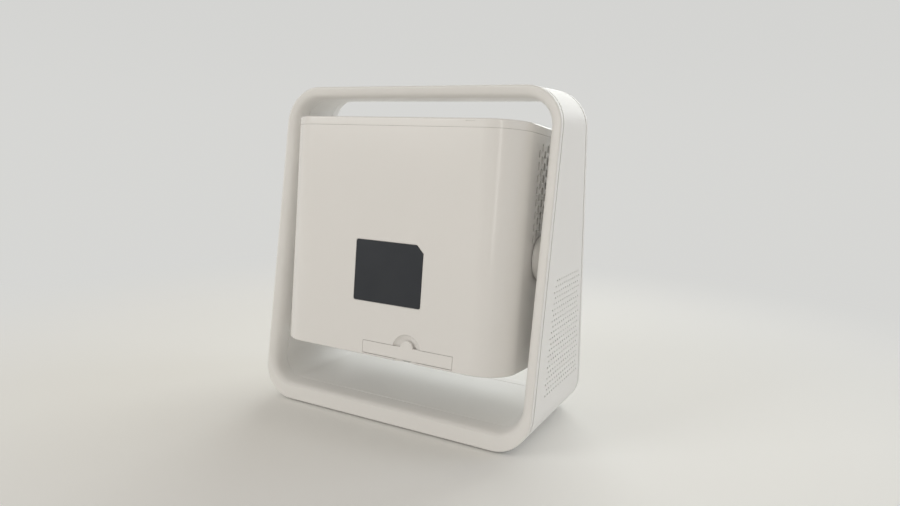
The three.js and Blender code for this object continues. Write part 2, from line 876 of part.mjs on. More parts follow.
function lensBarrel() {
  const rear = barrelFace - barrelLength;
  const seat = barrelFace - frontLensInset - frontLensThickness - seam;
  return solid(frontward(revolve([
    [barrelBore - barrelWall, rear],
    [barrelRadius, rear],
    [barrelRadius, barrelFace],
    [barrelBore, barrelFace],
    [barrelBore, seat],
    [barrelBore - barrelWall, seat],
  ], lensSides)));
}

const frontLens = () => solid(frontward(revolve(lensProfile(
  barrelBore - seam,
  barrelFace - frontLensInset - frontLensThickness,
  frontLensThickness,
), lensSides)));

const rearLens = () => solid(frontward(revolve(lensProfile(
  barrelBore - barrelWall - seam,
  barrelFace - barrelLength + lensCurve,
  rearLensThickness,
))));

const housingRadius = barrelRadius + 2 * seam + lensHousingWall;
const housingFront = barrelFace - focusTravel - 2 * seam;

function lensHousing() {
  const rear = -engineFront + seam;
  const ring = solid(frontward(
    tube(housingRadius, barrelRadius + 2 * seam, rear, housingFront, lensSides),
  ));
  const x = housingRadius + focusMotorRadius;
  const lug = block(
    [housingRadius - lensHousingWall, -rear - focusMotorRadius, lensZ - focusMotorRadius],
    [x + focusMotorRadius, -rear, lensZ + focusMotorRadius],
  );
  return ring.add(lug);
}

function focusMotor() {
  const rear = -engineFront + 2 * seam + focusMotorRadius;
  const body = bar(focusMotorRadius, rear, rear + focusMotorLength, smallSides);
  const x = housingRadius + focusMotorRadius + seam;
  return solid(alongY(body).rotateZ(Math.PI).translate(x, 0, lensZ));
}

const sensorWindow = () =>
  sensorBlock(0, -columnHalfDepth, -columnHalfDepth + sensorThickness);

// Optical engine, from the boards up

const engineRear = innerHalfDepth - seam;
const engineMiddleY = (engineFront + engineRear) / 2;
const engineInnerWidth = engineHalfWidth - engineWall;
const coverThickness = engineWall;
const sinkBottom = boardZ + sinkClearance;
const sinkTop = sinkBottom + sinkFinHeight + sinkBase;
const ledTop = sinkTop + seam + ledThickness;
const engineBottom = ledTop + seam;
const engineTop = columnHalfHeight - columnWall - engineHeadroom;
const condenserZ = ledTop - seam + ledDomeRadius + condenserGap;
const mirrorFoot = lensZ - (mirrorLength + mirrorThickness) / 2 * Math.SQRT1_2;
const panelZ = mix(condenserZ + condenserThickness, mirrorFoot, panelShare);
const fresnelZ = mix(condenserZ + condenserThickness, mirrorFoot, fresnelShare);

function engineHousing() {
  const rear = engineRear - coverThickness - seam;
  const box = block(
    [-engineHalfWidth, engineFront, engineBottom],
    [engineHalfWidth, rear, engineTop],
  );
  const hollow = block(
    [-engineInnerWidth, engineFront + engineWall, engineBottom - overrun],
    [engineInnerWidth, rear + overrun, engineTop - engineWall],
  );
  const window = frontward(bar(
    barrelBore,
    -engineFront - 2 * engineWall,
    -engineFront + overrun,
  ));
  return cut(box, hollow, solid(window));
}

const engineCover = () => block(
  [-engineHalfWidth, engineRear - coverThickness, engineBottom],
  [engineHalfWidth, engineRear, engineTop],
);

// A plate that spans the engine from wall to wall
function enginePlate(z, thickness) {
  return block(
    [-engineInnerWidth + seam, engineFront + engineWall + seam, z],
    [engineInnerWidth - seam, engineRear - coverThickness - 2 * seam, z + thickness],
  );
}

function condenser() {
  const dome = revolve(lensProfile(condenserRadius, condenserZ, condenserThickness));
  const frame = enginePlate(condenserZ + lensCurve, condenserThickness - 2 * lensCurve);
  return join(solid(dome.translate(0, engineMiddleY, 0)), frame);
}

function foldMirror() {
  const mirror = new THREE.BoxGeometry(2 * (engineInnerWidth - seam), mirrorLength, mirrorThickness);
  return solid(mirror.rotateX(-Math.PI / 4).translate(0, engineMiddleY, lensZ));
}

function ledModule() {
  const plate = block(
    [-ledHalfWidth, engineMiddleY - ledHalfWidth, ledTop - ledThickness],
    [ledHalfWidth, engineMiddleY + ledHalfWidth, ledTop],
  );
  const dome = new THREE.SphereGeometry(ledDomeRadius, smallSides, smallSides / 2);
  const cap = solid(dome.translate(0, engineMiddleY, ledTop - seam));
  return plate.add(cap.intersect(block(
    [-ledHalfWidth, engineMiddleY - ledHalfWidth, ledTop - ledThickness / 2],
    [ledHalfWidth, engineMiddleY + ledHalfWidth, ledTop + ledDomeRadius],
  )));
}

function heatSink() {
  const [front, rear] = [engineFront, engineRear];
  const base = block([-engineHalfWidth, front, sinkTop - sinkBase], [engineHalfWidth, rear, sinkTop]);
  const pitch = (2 * engineHalfWidth - sinkFinThickness) / (sinkFins - 1);
  const fins = span(sinkFins).map((fin) => {
    const x = -engineHalfWidth + fin * pitch;
    return block(
      [x, front, sinkBottom],
      [x + sinkFinThickness, rear, sinkTop - sinkBase / 2],
    );
  });
  return join(base, fins);
}

// Side fan, drawn on the +X side about its own axis

const fanOuter = innerHalfWidth - seam;
const fanInner = fanOuter - fanDepth;
const fanPlace = (made, side) => {
  const placed = made.translate([0, 0, slotCentreZ]);
  return side > 0 ? placed : placed.mirror([1, 0, 0]);
};

function fanFrame(side) {
  const box = solid(alongX(prism(roundedRect(fanSize, fanSize, fanCorner), fanInner, fanOuter)));
  const bore = solid(alongX(bar(fanBore, fanInner - overrun, fanOuter + overrun)));
  const hub = solid(alongX(bar(fanHubRadius, fanInner, fanInner + fanSpokeDepth)));
  const spokes = span(fanSpokes / 2).map((spoke) => {
    const made = block(
      [fanInner, -fanBore - overrun, -fanSpokeWidth / 2],
      [fanInner + fanSpokeDepth, fanBore + overrun, fanSpokeWidth / 2],
    );
    return made.rotate([45 + (spoke * 360) / fanSpokes, 0, 0]);
  });
  const pin = solid(alongX(bar(fanPinRadius, fanInner, fanOuter - fanSpokeDepth, smallSides)));
  return fanPlace(join(box.subtract(bore), hub, spokes, pin), side);
}

function fanRotor(side) {
  const from = fanInner + fanSpokeDepth + seam;
  const to = fanOuter - fanSpokeDepth / 2;
  const hub = solid(alongX(bar(fanHubRadius, from, to)));
  const pinTop = fanOuter - fanSpokeDepth;
  const pinHole = solid(alongX(bar(fanPinRadius + 2 * seam, from - overrun, pinTop + seam, smallSides)));
  const tip = fanBore - fanTipGap;
  const blades = span(fanBlades).map((blade) => {
    const width = (to - from) * Math.cos(fanBladePitch);
    const plate = new THREE.BoxGeometry(width, fanBladeThickness, tip - fanHubRadius / 2);
    plate.rotateZ(fanBladePitch);
    plate.translate((from + to) / 2, 0, (tip + fanHubRadius / 2) / 2);
    return solid(plate).rotate([(blade * 360) / fanBlades, 0, 0]);
  });
  return fanPlace(cut(join(hub, blades), pinHole), side);
}

// Boards and sockets

const board = (left, right) => block(
  [left, -boardHalfDepth, boardZ - boardThickness],
  [right, boardHalfDepth, boardZ],
);

const socketTop = boardZ - boardThickness - seam;
const socketFoot = -columnHalfHeight + socketRecess;

function socket(x, width, height) {
  const mouth = roundedRect(width - 2 * socketWall, height - 2 * socketWall, socketWall / 2);
  const box = solid(prism(roundedRect(width, height, socketWall), socketFoot, socketTop));
  const hollow = solid(prism(mouth, socketFoot - overrun, socketFoot + socketDepth));
  return cut(box, hollow).translate([x, socketY, 0]);
}

function audioJack() {
  const jack = revolve([
    [0, socketFoot + socketDepth],
    [audioBore, socketFoot + socketDepth],
    [audioBore, socketFoot],
    [audioRadius, socketFoot],
    [audioRadius, socketTop],
    [0, socketTop],
  ], smallSides);
  return solid(jack.translate(audioX, socketY, 0));
}

// Figure-of-eight mains inlet with its two contact pins
function mainsInlet() {
  const box = solid(prism(roundedRect(inletWidth, inletHeight, socketWall), socketFoot, socketTop));
  const mouth = roundedRect(
    inletWidth - 2 * socketWall,
    inletHeight - 2 * socketWall,
    inletHeight / 2 - socketWall,
  );
  const hollow = solid(prism(mouth, socketFoot - overrun, socketFoot + inletRecess));
  const pins = [-1, 1].map((side) => solid(
    bar(inletPinRadius, socketFoot + socketRecess, socketFoot + inletRecess + overrun, smallSides)
      .translate(side * inletPinSpread, 0, 0),
  ));
  return join(cut(box, hollow), pins).translate([inletX, socketY, 0]);
}

// Power button and its switch

function powerButton() {
  const top = columnHalfHeight - buttonSunk;
  const edge = buttonSunk;
  return solid(revolve([
    [0, top - buttonThickness],
    [buttonRadius, top - buttonThickness],
    [buttonRadius, top - edge],
    [buttonRadius - edge, top],
    [0, top],
  ]));
}

// The parts, put together

function mesh(name, made, look) {
  const geometry = made.isBufferGeometry ? made : geometryOf(made);
  const material = new THREE.MeshStandardMaterial(finishes[look]);
  const piece = new THREE.Mesh(geometry, material);
  piece.name = name;
  return piece;
}

const mirrored = (made) => made.mirror([1, 0, 0]);

// Pieces that belong to the loop, in its own frame
const stand = new THREE.Group();
stand.add(
  mesh('outer_band', outerBand(), 'loop'),
  mesh('rear_rim', rim(behindRear), 'loop'),
  mesh('front_rim', rim(behindFront), 'loop'),
  mesh('inner_liner', innerLiner(), 'loop'),
  mesh('speaker_left', speaker(-1), 'dark'),
  mesh('speaker_right', speaker(1), 'dark'),
);
const corners = ['front_left', 'rear_left', 'front_right', 'rear_right'];
corners.forEach((corner, index) => {
  stand.add(mesh(`foot_${corner}`, foot(...footSpots()[index]), 'rubber'));
});

// Pivot pieces that stay with the loop, about the pivot axis
const pivots = new THREE.Group();
pivots.position.z = pivotZ;
const pivotPieces = [
  ['pivot_boss', pivotBoss, 'loop'],
  ['pivot_shaft', pivotShaft, 'steel'],
  ['friction_washer', pivotWasher, 'dark'],
  ['pivot_nut', pivotNut, 'steel'],
];
for (const [name, make, look] of pivotPieces) {
  const made = make();
  const right = made.isBufferGeometry ? solid(made) : made;
  pivots.add(mesh(`${name}_right`, right, look), mesh(`${name}_left`, mirrored(right), look));
}

// What tilts, about the pivot axis: the bushes, and the column drawn about its own middle
const tilting = new THREE.Group();
tilting.position.z = pivotZ;
tilting.rotation.x = restTilt;
const bush = solid(pivotBush());
const column = new THREE.Group();
column.position.z = pivotDrop;
tilting.add(
  column,
  mesh('pivot_bush_right', bush, 'paleGrey'),
  mesh('pivot_bush_left', mirrored(bush), 'paleGrey'),
);
column.add(
  mesh('rear_shell', rearShell(), 'shell'),
  mesh('front_shell', frontShell(), 'shell'),
  mesh('top_cover', topCover(), 'shell'),
  mesh('bottom_cover', bottomCover(), 'paleGrey'),
  mesh('rating_plate', ratingPlate(), 'plate'),
  mesh('filter_hatch', filterHatch(), 'shell'),
  mesh('dust_filter', dustFilter(), 'foam'),
  mesh('lens_trim', lensTrim(), 'dark'),
  mesh('lens_barrel', lensBarrel(), 'dark'),
  mesh('front_lens', frontLens(), 'glass'),
  mesh('rear_lens', rearLens(), 'glass'),
  mesh('lens_housing', lensHousing(), 'dark'),
  mesh('focus_motor', focusMotor(), 'steel'),
  mesh('sensor_window', sensorWindow(), 'dark'),
  mesh('engine_housing', engineHousing(), 'dark'),
  mesh('engine_cover', engineCover(), 'dark'),
  mesh('condenser_lens', condenser(), 'glass'),
  mesh('lcd_panel', enginePlate(panelZ, panelThickness), 'dark'),
  mesh('fresnel_lens', enginePlate(fresnelZ, fresnelThickness), 'glass'),
  mesh('fold_mirror', foldMirror(), 'aluminium'),
  mesh('led_module', ledModule(), 'aluminium'),
  mesh('heat_sink', heatSink(), 'aluminium'),
  mesh('fan_frame_left', fanFrame(-1), 'dark'),
  mesh('fan_frame_right', fanFrame(1), 'dark'),
  mesh('fan_rotor_left', fanRotor(-1), 'dark'),
  mesh('fan_rotor_right', fanRotor(1), 'dark'),
  mesh('main_board', board(mainBoardLeft, mainBoardRight), 'board'),
  mesh('power_board', board(powerBoardLeft, powerBoardRight), 'board'),
  mesh('hdmi_socket', socket(hdmiX, hdmiWidth, hdmiHeight), 'steel'),
  mesh('usb_socket', socket(usbX, usbWidth, usbHeight), 'steel'),
  mesh('audio_jack', audioJack(), 'dark'),
  mesh('mains_inlet', mainsInlet(), 'dark'),
  mesh('power_button', powerButton(), 'paleGrey'),
);
corners.forEach((corner, index) => {
  column.add(mesh(`screw_${corner}`, screw(...screwSpots()[index]), 'steel'));
});

const projector = new THREE.Group();
projector.add(stand, pivots, tilting);

export default projector;
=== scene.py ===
"""Looks of a tabletop projector: a white column that tilts inside a closed loop stand.

Sizes are millimetres while a piece is drawn. Every finished mesh is in metres, in the row frame:
+Z up, the lens towards -Y, the pivot along X.
"""

import json
import logging
import math
from dataclasses import dataclass
from enum import Enum
from typing import Any, Callable, Iterable, Sequence, Union

import bmesh
import bpy
from mathutils import Matrix, Vector

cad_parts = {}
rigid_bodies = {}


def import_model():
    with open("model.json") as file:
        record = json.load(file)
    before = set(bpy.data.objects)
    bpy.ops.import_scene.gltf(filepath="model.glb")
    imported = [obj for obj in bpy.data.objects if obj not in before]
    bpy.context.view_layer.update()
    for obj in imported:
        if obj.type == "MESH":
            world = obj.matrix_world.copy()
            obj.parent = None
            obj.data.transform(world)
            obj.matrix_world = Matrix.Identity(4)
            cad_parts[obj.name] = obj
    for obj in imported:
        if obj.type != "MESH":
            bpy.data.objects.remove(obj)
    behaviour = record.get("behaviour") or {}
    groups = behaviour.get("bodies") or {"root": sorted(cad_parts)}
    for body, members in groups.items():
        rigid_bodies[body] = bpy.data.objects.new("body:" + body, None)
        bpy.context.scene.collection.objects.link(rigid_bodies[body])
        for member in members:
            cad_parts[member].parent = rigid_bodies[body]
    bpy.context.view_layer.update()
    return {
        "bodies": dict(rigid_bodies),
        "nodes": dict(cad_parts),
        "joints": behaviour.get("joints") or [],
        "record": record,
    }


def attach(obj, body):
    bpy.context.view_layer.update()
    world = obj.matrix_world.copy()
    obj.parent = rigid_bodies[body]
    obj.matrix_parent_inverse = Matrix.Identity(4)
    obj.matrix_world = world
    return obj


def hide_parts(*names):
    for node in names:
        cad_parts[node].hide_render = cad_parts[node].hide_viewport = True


LOG = logging.getLogger("projector")

MM = 0.001
QUARTER = math.pi / 2
GAP = 0.3  # between pieces that touch
OVERRUN = 1.0  # how far a cutting tool runs past what it cuts
SOFT_EDGE = 0.22  # broken edge along a seam
TO_X = Matrix.Rotation(QUARTER, 4, "Y")  # what stands along Z runs along +X
TO_FRONT = Matrix.Rotation(QUARTER, 4, "X")  # what stands along Z runs along -Y

Point = tuple[float, float, float]
Flat = tuple[float, float]
Colour = tuple[float, float, float]
Stand = Callable[[Iterable[Flat], float], list[Point]]


class Body(Enum):
    """The CAD bodies that pieces ride on."""

    STAND = "stand"
    COLUMN = "column"
    LENS_GROUP = "lens_group"
    HATCH = "hatch"
    BUTTON = "power_button"


class Slot(Enum):
    """The record's material slots."""

    LOOP = "loop_plastic"
    SHELL = "shell_plastic"
    UNDERSIDE = "underside_plastic"
    PLATE = "plate_film"
    RUBBER = "rubber"
    DARK = "dark_plastic"
    STEEL = "steel"
    GLASS = "lens_glass"


class Side(Enum):
    """The two sides of the object, by the sign of X."""

    LEFT = -1
    RIGHT = 1


class End(Enum):
    """The two ends of the object, by the sign of Y."""

    FRONT = -1
    REAR = 1


class Combine(Enum):
    """How two solids are put together."""

    CUT = "DIFFERENCE"
    JOIN = "UNION"
    KEEP = "INTERSECT"


# Shader maths


class Field:
    """A node's output that takes part in expressions: each operator adds its Math node."""

    def __init__(self, sheet: "Sheet", socket: bpy.types.NodeSocket) -> None:
        """Remember the node sheet and the output on it."""
        self.sheet = sheet
        self.socket = socket

    def _maths(self, operation: str, first: "Value", second: "Value" = 0.0) -> "Field":
        """Add one Math node and return its output."""
        return self.sheet.node("ShaderNodeMath", {"operation": operation}, {0: first, 1: second})

    def __add__(self, other: "Value") -> "Field":
        """Return self + other."""
        return self._maths("ADD", self, other)

    def __radd__(self, other: "Value") -> "Field":
        """Return other + self."""
        return self._maths("ADD", other, self)

    def __sub__(self, other: "Value") -> "Field":
        """Return self - other."""
        return self._maths("SUBTRACT", self, other)

    def __rsub__(self, other: "Value") -> "Field":
        """Return other - self."""
        return self._maths("SUBTRACT", other, self)

    def __mul__(self, other: "Value") -> "Field":
        """Return self * other."""
        return self._maths("MULTIPLY", self, other)

    def __rmul__(self, other: "Value") -> "Field":
        """Return other * self."""
        return self._maths("MULTIPLY", other, self)

    def __gt__(self, other: "Value") -> "Field":
        """Return 1 where self is greater than other, 0 elsewhere."""
        return self._maths("GREATER_THAN", self, other)


Value = Union[Field, float, Sequence[float]]


class Sheet:
    """The node sheet of a material or of the world."""

    def __init__(self, owner: Union[bpy.types.Material, bpy.types.World]) -> None:
        """Empty the owner's node sheet.

        Args:
            owner: the material or the world.
        """
        owner.use_nodes = True
        self.owner = owner
        self.tree = owner.node_tree
        self.tree.nodes.clear()

    def node(
        self,
        kind: str,
        settings: dict[str, Any] | None = None,
        sockets: dict[Union[str, int], Value] | None = None,
        output: Union[str, int] = 0,
    ) -> Field:
        """Add a node.

        Args:
            kind: the node's type.
            settings: its properties.
            sockets: the values or links of its inputs.
            output: which output to return.

        Returns:
            The chosen output.
        """
        made = self.tree.nodes.new(kind)
        for key, value in (settings or {}).items():
            setattr(made, key, value)
        for key, value in (sockets or {}).items():
            socket = made.inputs[key]
            if isinstance(value, Field):
                self.tree.links.new(value.socket, socket)
            elif socket.type == "RGBA":
                socket.default_value = (*value, 1.0)
            else:
                socket.default_value = value
        return Field(self, made.outputs[output] if len(made.outputs) else made.inputs[0])

    def coords(self) -> Field:
        """Return the object coordinates, in metres."""
        return self.node("ShaderNodeTexCoord", output="Object")

    def stretched(self, scale: Point) -> Field:
        """Return the object coordinates, scaled along each axis."""
        return self.node("ShaderNodeMapping", {}, {"Vector": self.coords(), "Scale": scale})

    def noise(self, scale: float, detail: float = 2.0, where: Field | None = None) -> Field:
        """Return noise between 0 and 1, by waves per metre, octaves and coordinates."""
        sockets = {"Vector": where or self.coords(), "Scale": scale, "Detail": detail}
        return self.node("ShaderNodeTexNoise", {}, sockets)

    def cells(self, scale: float, feature: str = "F1") -> Field:
        """Return the distance to the nearest cell's point, or to its border."""
        sockets = {"Vector": self.coords(), "Scale": scale}
        return self.node("ShaderNodeTexVoronoi", {"feature": feature}, sockets)

    def blend(self, share: Value, first: Value, second: Value) -> Field:
        """Return a colour between two, at the given share of the second."""
        settings = {"data_type": "RGBA"}
        return self.node("ShaderNodeMix", settings, {0: share, 6: first, 7: second}, output=2)

    def between(self, value: Field, low: float, high: float) -> Field:
        """Return how far a value has come from low (0) to high (1), eased at both ends."""
        settings = {"interpolation_type": "SMOOTHSTEP"}
        return self.node("ShaderNodeMapRange", settings, {0: value, 1: low, 2: high})

    def seen(self) -> Field:
        """Return 1 for rays from the camera, a gloss or a clear piece, and 0 for other rays.

        Returns:
            1 or 0, by the kind of ray.
        """
        kinds = ("Is Camera Ray", "Is Glossy Ray", "Is Transmission Ray")
        camera, gloss, clear = (self.node("ShaderNodeLightPath", output=kind) for kind in kinds)
        return self.node(
            "ShaderNodeMath", {"operation": "ADD", "use_clamp": True}, {0: camera + gloss, 1: clear}
        )

    def bump(self, height: Field, depth: float) -> Field:
        """Return a normal bumped by a height, of which 1 stands for a depth in metres."""
        sockets = {"Height": height, "Distance": depth, "Strength": 1.0}
        return self.node("ShaderNodeBump", {}, sockets)

    def finish(self, sockets: dict[str, Value]) -> None:
        """End the sheet in a Principled shader with these inputs."""
        self.end(self.node("ShaderNodeBsdfPrincipled", {}, sockets))

    def end(self, shader: Field) -> None:
        """End the sheet in a shader."""
        kind = "World" if isinstance(self.owner, bpy.types.World) else "Material"
        self.node(f"ShaderNodeOutput{kind}", {}, {"Surface": shader})


# Finishes


@dataclass(frozen=True)
class Finish:
    """A finish, made once and shared by all pieces that have it."""

    name: str

    def material(self) -> bpy.types.Material:
        """Return the finish's material, made at its first use.

        Returns:
            The material, the same one each time.
        """
        made = bpy.data.materials.get(self.name)
        if made is None:
            made = bpy.data.materials.new(self.name)
            self.draw(Sheet(made))
        return made

    def draw(self, sheet: Sheet) -> None:
        """Draw the finish on an empty sheet."""
        raise NotImplementedError


@dataclass(frozen=True)
class MouldedPlastic(Finish):
    """Moulded plastic: a fine spark-eroded grain under a satin surface, slightly uneven in tone."""

    colour: Colour
    deeper: Colour
    roughness: float = 0.4
    unevenness: float = 0.07
    grain_scale: float = 2600.0
    grain_depth: float = 0.000012
    cloud_scale: float = 14.0
    cloud_share: float = 0.75
    ior: float = 1.47

    def draw(self, sheet: Sheet) -> None:
        """Draw grain, faint clouds of tone and a roughness that follows both.

        Args:
            sheet: an empty sheet.
        """
        grain = sheet.noise(self.grain_scale, 3.0)
        cloud = sheet.noise(self.cloud_scale, 2.0)
        tone = cloud * self.cloud_share + grain * (1.0 - self.cloud_share)
        wear = self.roughness + (cloud - 0.5) * self.unevenness + (grain - 0.5) * self.unevenness
        sheet.finish({
            "Base Color": sheet.blend(tone, self.deeper, self.colour),
            "Roughness": wear,
            "IOR": self.ior,
            "Normal": sheet.bump(grain, self.grain_depth),
        })


@dataclass(frozen=True)
class PlateFilm(Finish):
    """Printed film of the bare rating plate: near-black, satin, with faint specks of dust."""

    colour: Colour = (0.012, 0.015, 0.021)
    speck: Colour = (0.055, 0.058, 0.064)
    roughness: float = 0.34
    unevenness: float = 0.16
    peel_scale: float = 900.0
    peel_depth: float = 0.00001
    smear_scale: float = 60.0
    dust_scale: float = 700.0
    dust_size: float = 0.07
    dusty_from: float = 0.52
    dust_share: float = 0.6
    smear_share: float = 0.12

    def draw(self, sheet: Sheet) -> None:
        """Draw the film's faint orange peel and its dust.

        Args:
            sheet: an empty sheet.
        """
        peel = sheet.noise(self.peel_scale, 2.0)
        smear = sheet.noise(self.smear_scale, 3.0)
        dust = 1.0 - (sheet.cells(self.dust_scale) > self.dust_size)
        lit = dust * (smear > self.dusty_from)
        tone = lit * self.dust_share + smear * self.smear_share
        sheet.finish({
            "Base Color": sheet.blend(tone, self.colour, self.speck),
            "Roughness": self.roughness + (smear - 0.5) * self.unevenness,
            "Normal": sheet.bump(peel, self.peel_depth),
        })


@dataclass(frozen=True)
class Rubber(Finish):
    """Matt moulded rubber."""

    colour: Colour = (0.022, 0.022, 0.024)
    dusty: Colour = (0.06, 0.058, 0.055)
    roughness: float = 0.72
    unevenness: float = 0.2
    pore_scale: float = 1800.0
    pore_depth: float = 0.00004

    def draw(self, sheet: Sheet) -> None:
        """Draw a matt surface with dust in its pores.

        Args:
            sheet: an empty sheet.
        """
        pores = sheet.noise(self.pore_scale, 4.0)
        sheet.finish({
            "Base Color": sheet.blend(pores, self.colour, self.dusty),
            "Roughness": self.roughness + pores * self.unevenness,
            "Normal": sheet.bump(pores, self.pore_depth),
        })


@dataclass(frozen=True)
class Metal(Finish):
    """Metal with a grain that runs along one direction."""

    colour: Colour
    deeper: Colour
    stretch: Point = (4000.0, 120.0, 4000.0)
    roughness: float = 0.3
    unevenness: float = 0.2
    grain_share: float = 0.6
    grain_depth: float = 0.000008
    stain_scale: float = 70.0

    def draw(self, sheet: Sheet) -> None:
        """Draw the grain in tone, roughness and relief.

        Args:
            sheet: an empty sheet.
        """
        grain = sheet.noise(1.0, 3.0, sheet.stretched(self.stretch))
        stain = sheet.noise(self.stain_scale, 2.0)
        tone = grain * self.grain_share + stain * (1.0 - self.grain_share)
        sheet.finish({
            "Base Color": sheet.blend(tone, self.deeper, self.colour),
            "Metallic": 1.0,
            "Roughness": self.roughness + (grain - 0.5) * self.unevenness,
            "Normal": sheet.bump(grain, self.grain_depth),
        })


@dataclass(frozen=True)
class CoatedGlass(Finish):
    """Lens glass with a violet-green coating."""

    colour: Colour
    roughness: float = 0.02
    dust_scale: float = 500.0
    dust_share: float = 0.02
    ior: float = 1.52
    clearness: float = 0.94
    gleam: Colour = (0.78, 0.7, 1.0)
    coat: float = 0.5
    coat_roughness: float = 0.03
    coat_tint: Colour = (0.72, 0.9, 0.86)

    def draw(self, sheet: Sheet) -> None:
        """Draw clear glass with a trace of dust in its roughness.

        Args:
            sheet: an empty sheet.
        """
        dust = sheet.noise(self.dust_scale, 3.0)
        sheet.finish({
            "Base Color": self.colour,
            "Roughness": self.roughness + dust * self.dust_share,
            "IOR": self.ior,
            "Transmission Weight": self.clearness,
            "Specular Tint": self.gleam,
            "Coat Weight": self.coat,
            "Coat Roughness": self.coat_roughness,
            "Coat Tint": self.coat_tint,
        })


@dataclass(frozen=True)
class CircuitBoard(Finish):
    """Solder mask over copper tracks, with tinned pads."""

    mask: Colour = (0.008, 0.075, 0.03)
    track: Colour = (0.02, 0.16, 0.07)
    pad: Colour = (0.62, 0.6, 0.55)
    track_scale: float = 260.0
    track_size: float = 0.42
    pad_scale: float = 340.0
    pad_size: float = 0.16
    relief: float = 0.00003
    roughness: float = 0.38
    pad_polish: float = 0.12

    def draw(self, sheet: Sheet) -> None:
        """Draw square-cornered tracks and rows of pads.

        Args:
            sheet: an empty sheet.
        """
        tracks = sheet.node(
            "ShaderNodeTexVoronoi",
            {"distance": "CHEBYCHEV", "feature": "F1"},
            {"Vector": sheet.coords(), "Scale": self.track_scale},
        )
        run = tracks > self.track_size
        pads = 1.0 - (sheet.cells(self.pad_scale) > self.pad_size)
        mask = sheet.blend(run, self.mask, self.track)
        sheet.finish({
            "Base Color": sheet.blend(pads, mask, self.pad),
            "Metallic": pads,
            "Roughness": self.roughness - pads * self.pad_polish,
            "Normal": sheet.bump(run + pads, self.relief),
        })


@dataclass(frozen=True)
class Foam(Finish):
    """Open-celled filter foam."""

    colour: Colour = (0.05, 0.052, 0.055)
    # painted shade: the colour deep in each cell, where shade falls
    pit_shade: Colour = (0.008, 0.008, 0.009)
    cell_scale: float = 900.0
    pit_slope: float = 3.0
    pit_depth: float = 0.0003
    roughness: float = 0.95

    def draw(self, sheet: Sheet) -> None:
        """Draw the cells with painted shade in their pits, and raised borders.

        Args:
            sheet: an empty sheet.
        """
        border = sheet.cells(self.cell_scale, "DISTANCE_TO_EDGE")
        wall = 1.0 - border * self.pit_slope
        sheet.finish({
            "Base Color": sheet.blend(wall, self.pit_shade, self.colour),
            "Roughness": self.roughness,
            "Normal": sheet.bump(wall, self.pit_depth),
        })


LOOP_WHITE = MouldedPlastic("loop white", (0.87, 0.86, 0.84), (0.85, 0.84, 0.82), 0.46)
SHELL_WHITE = MouldedPlastic(
    "shell white", (0.87, 0.855, 0.835), (0.85, 0.835, 0.815), 0.19, 0.05, 2600.0, 0.000006
)
UNDERSIDE_GREY = MouldedPlastic(
    "underside grey", (0.6, 0.6, 0.59), (0.52, 0.52, 0.51), 0.55, 0.1, 1500.0, 0.00004
)
BLACK_PLASTIC = MouldedPlastic(
    "black plastic", (0.028, 0.029, 0.032), (0.012, 0.012, 0.014), 0.42, 0.12, 1900.0, 0.00002
)
GLOSS_BLACK = MouldedPlastic(
    "gloss black", (0.01, 0.01, 0.013), (0.006, 0.006, 0.008), 0.12, 0.05, 2600.0, 0.000002
)
PLATE_FILM = PlateFilm("plate film")
RUBBER = Rubber("rubber")
STEEL = Metal("steel", (0.62, 0.62, 0.63), (0.42, 0.42, 0.43))
ALUMINIUM = Metal("aluminium", (0.78, 0.79, 0.8), (0.6, 0.61, 0.62), (160.0, 4200.0, 4200.0), 0.36)
MIRROR = Metal("silvered mirror", (0.93, 0.94, 0.95), (0.9, 0.91, 0.92), (200.0, 200.0, 200.0), 0.06)
LENS_GLASS = CoatedGlass("coated glass", (0.86, 0.93, 0.95))
CIRCUIT_BOARD = CircuitBoard("circuit board")
FOAM = Foam("filter foam")


# Drawing


def turns(steps: int, sweep: float = QUARTER, start: float = 0.0) -> list[float]:
    """Return the angles that divide a sweep into equal steps, both ends among them."""
    return [start + sweep * step / steps for step in range(steps + 1)]


def quarter(centre: Flat, radius: float, start: float, steps: int) -> list[Flat]:
    """Return points on a quarter turn.

    Args:
        centre: the turn's centre.
        radius: its radius.
        start: the angle of its first point.
        steps: how many parts it has.

    Returns:
        The points, both ends among them.
    """
    x, y = centre
    angles = turns(steps, start=start)
    return [(x + radius * math.cos(angle), y + radius * math.sin(angle)) for angle in angles]


def rounded_rect(width: float, height: float, corner: float, steps: int = 6) -> list[Flat]:
    """Return the outline of a rectangle with round corners, about its middle.

    Args:
        width: the rectangle's width.
        height: its height.
        corner: radius of its corners.
        steps: parts of each corner.

    Returns:
        The points, round from the right-hand side.
    """
    x, y = width / 2 - corner, height / 2 - corner
    return [
        *quarter((x, y), corner, 0.0, steps),
        *quarter((-x, y), corner, QUARTER, steps),
        *quarter((-x, -y), corner, 2 * QUARTER, steps),
        *quarter((x, -y), corner, 3 * QUARTER, steps),
    ]


def circle(radius: float, sides: int) -> list[Flat]:
    """Return the points of a circle about the origin."""
    angles = turns(sides, 2 * math.pi)[:-1]
    return [(radius * math.cos(angle), radius * math.sin(angle)) for angle in angles]


def shifted(outline: Iterable[Flat], x: float, y: float) -> list[Flat]:
    """Return an outline moved in its plane."""
    return [(px + x, py + y) for px, py in outline]


def four_corners(x: float, y: float) -> dict[str, Flat]:
    """Return the places at x and y to all four sides of the middle.

    Args:
        x: distance to the left and to the right.
        y: distance to the front and to the rear.

    Returns:
        The places by name, such as front_left.
    """
    return {
        f"{end.name.lower()}_{side.name.lower()}": (side.value * x, end.value * y)
        for side in Side for end in End
    }


def along_x(outline: Iterable[Flat], x: float) -> list[Point]:
    """Stand a (y, z) outline at x."""
    return [(x, y, z) for y, z in outline]


def along_y(outline: Iterable[Flat], y: float) -> list[Point]:
    """Stand an (x, z) outline at y."""
    return [(x, y, z) for x, z in outline]


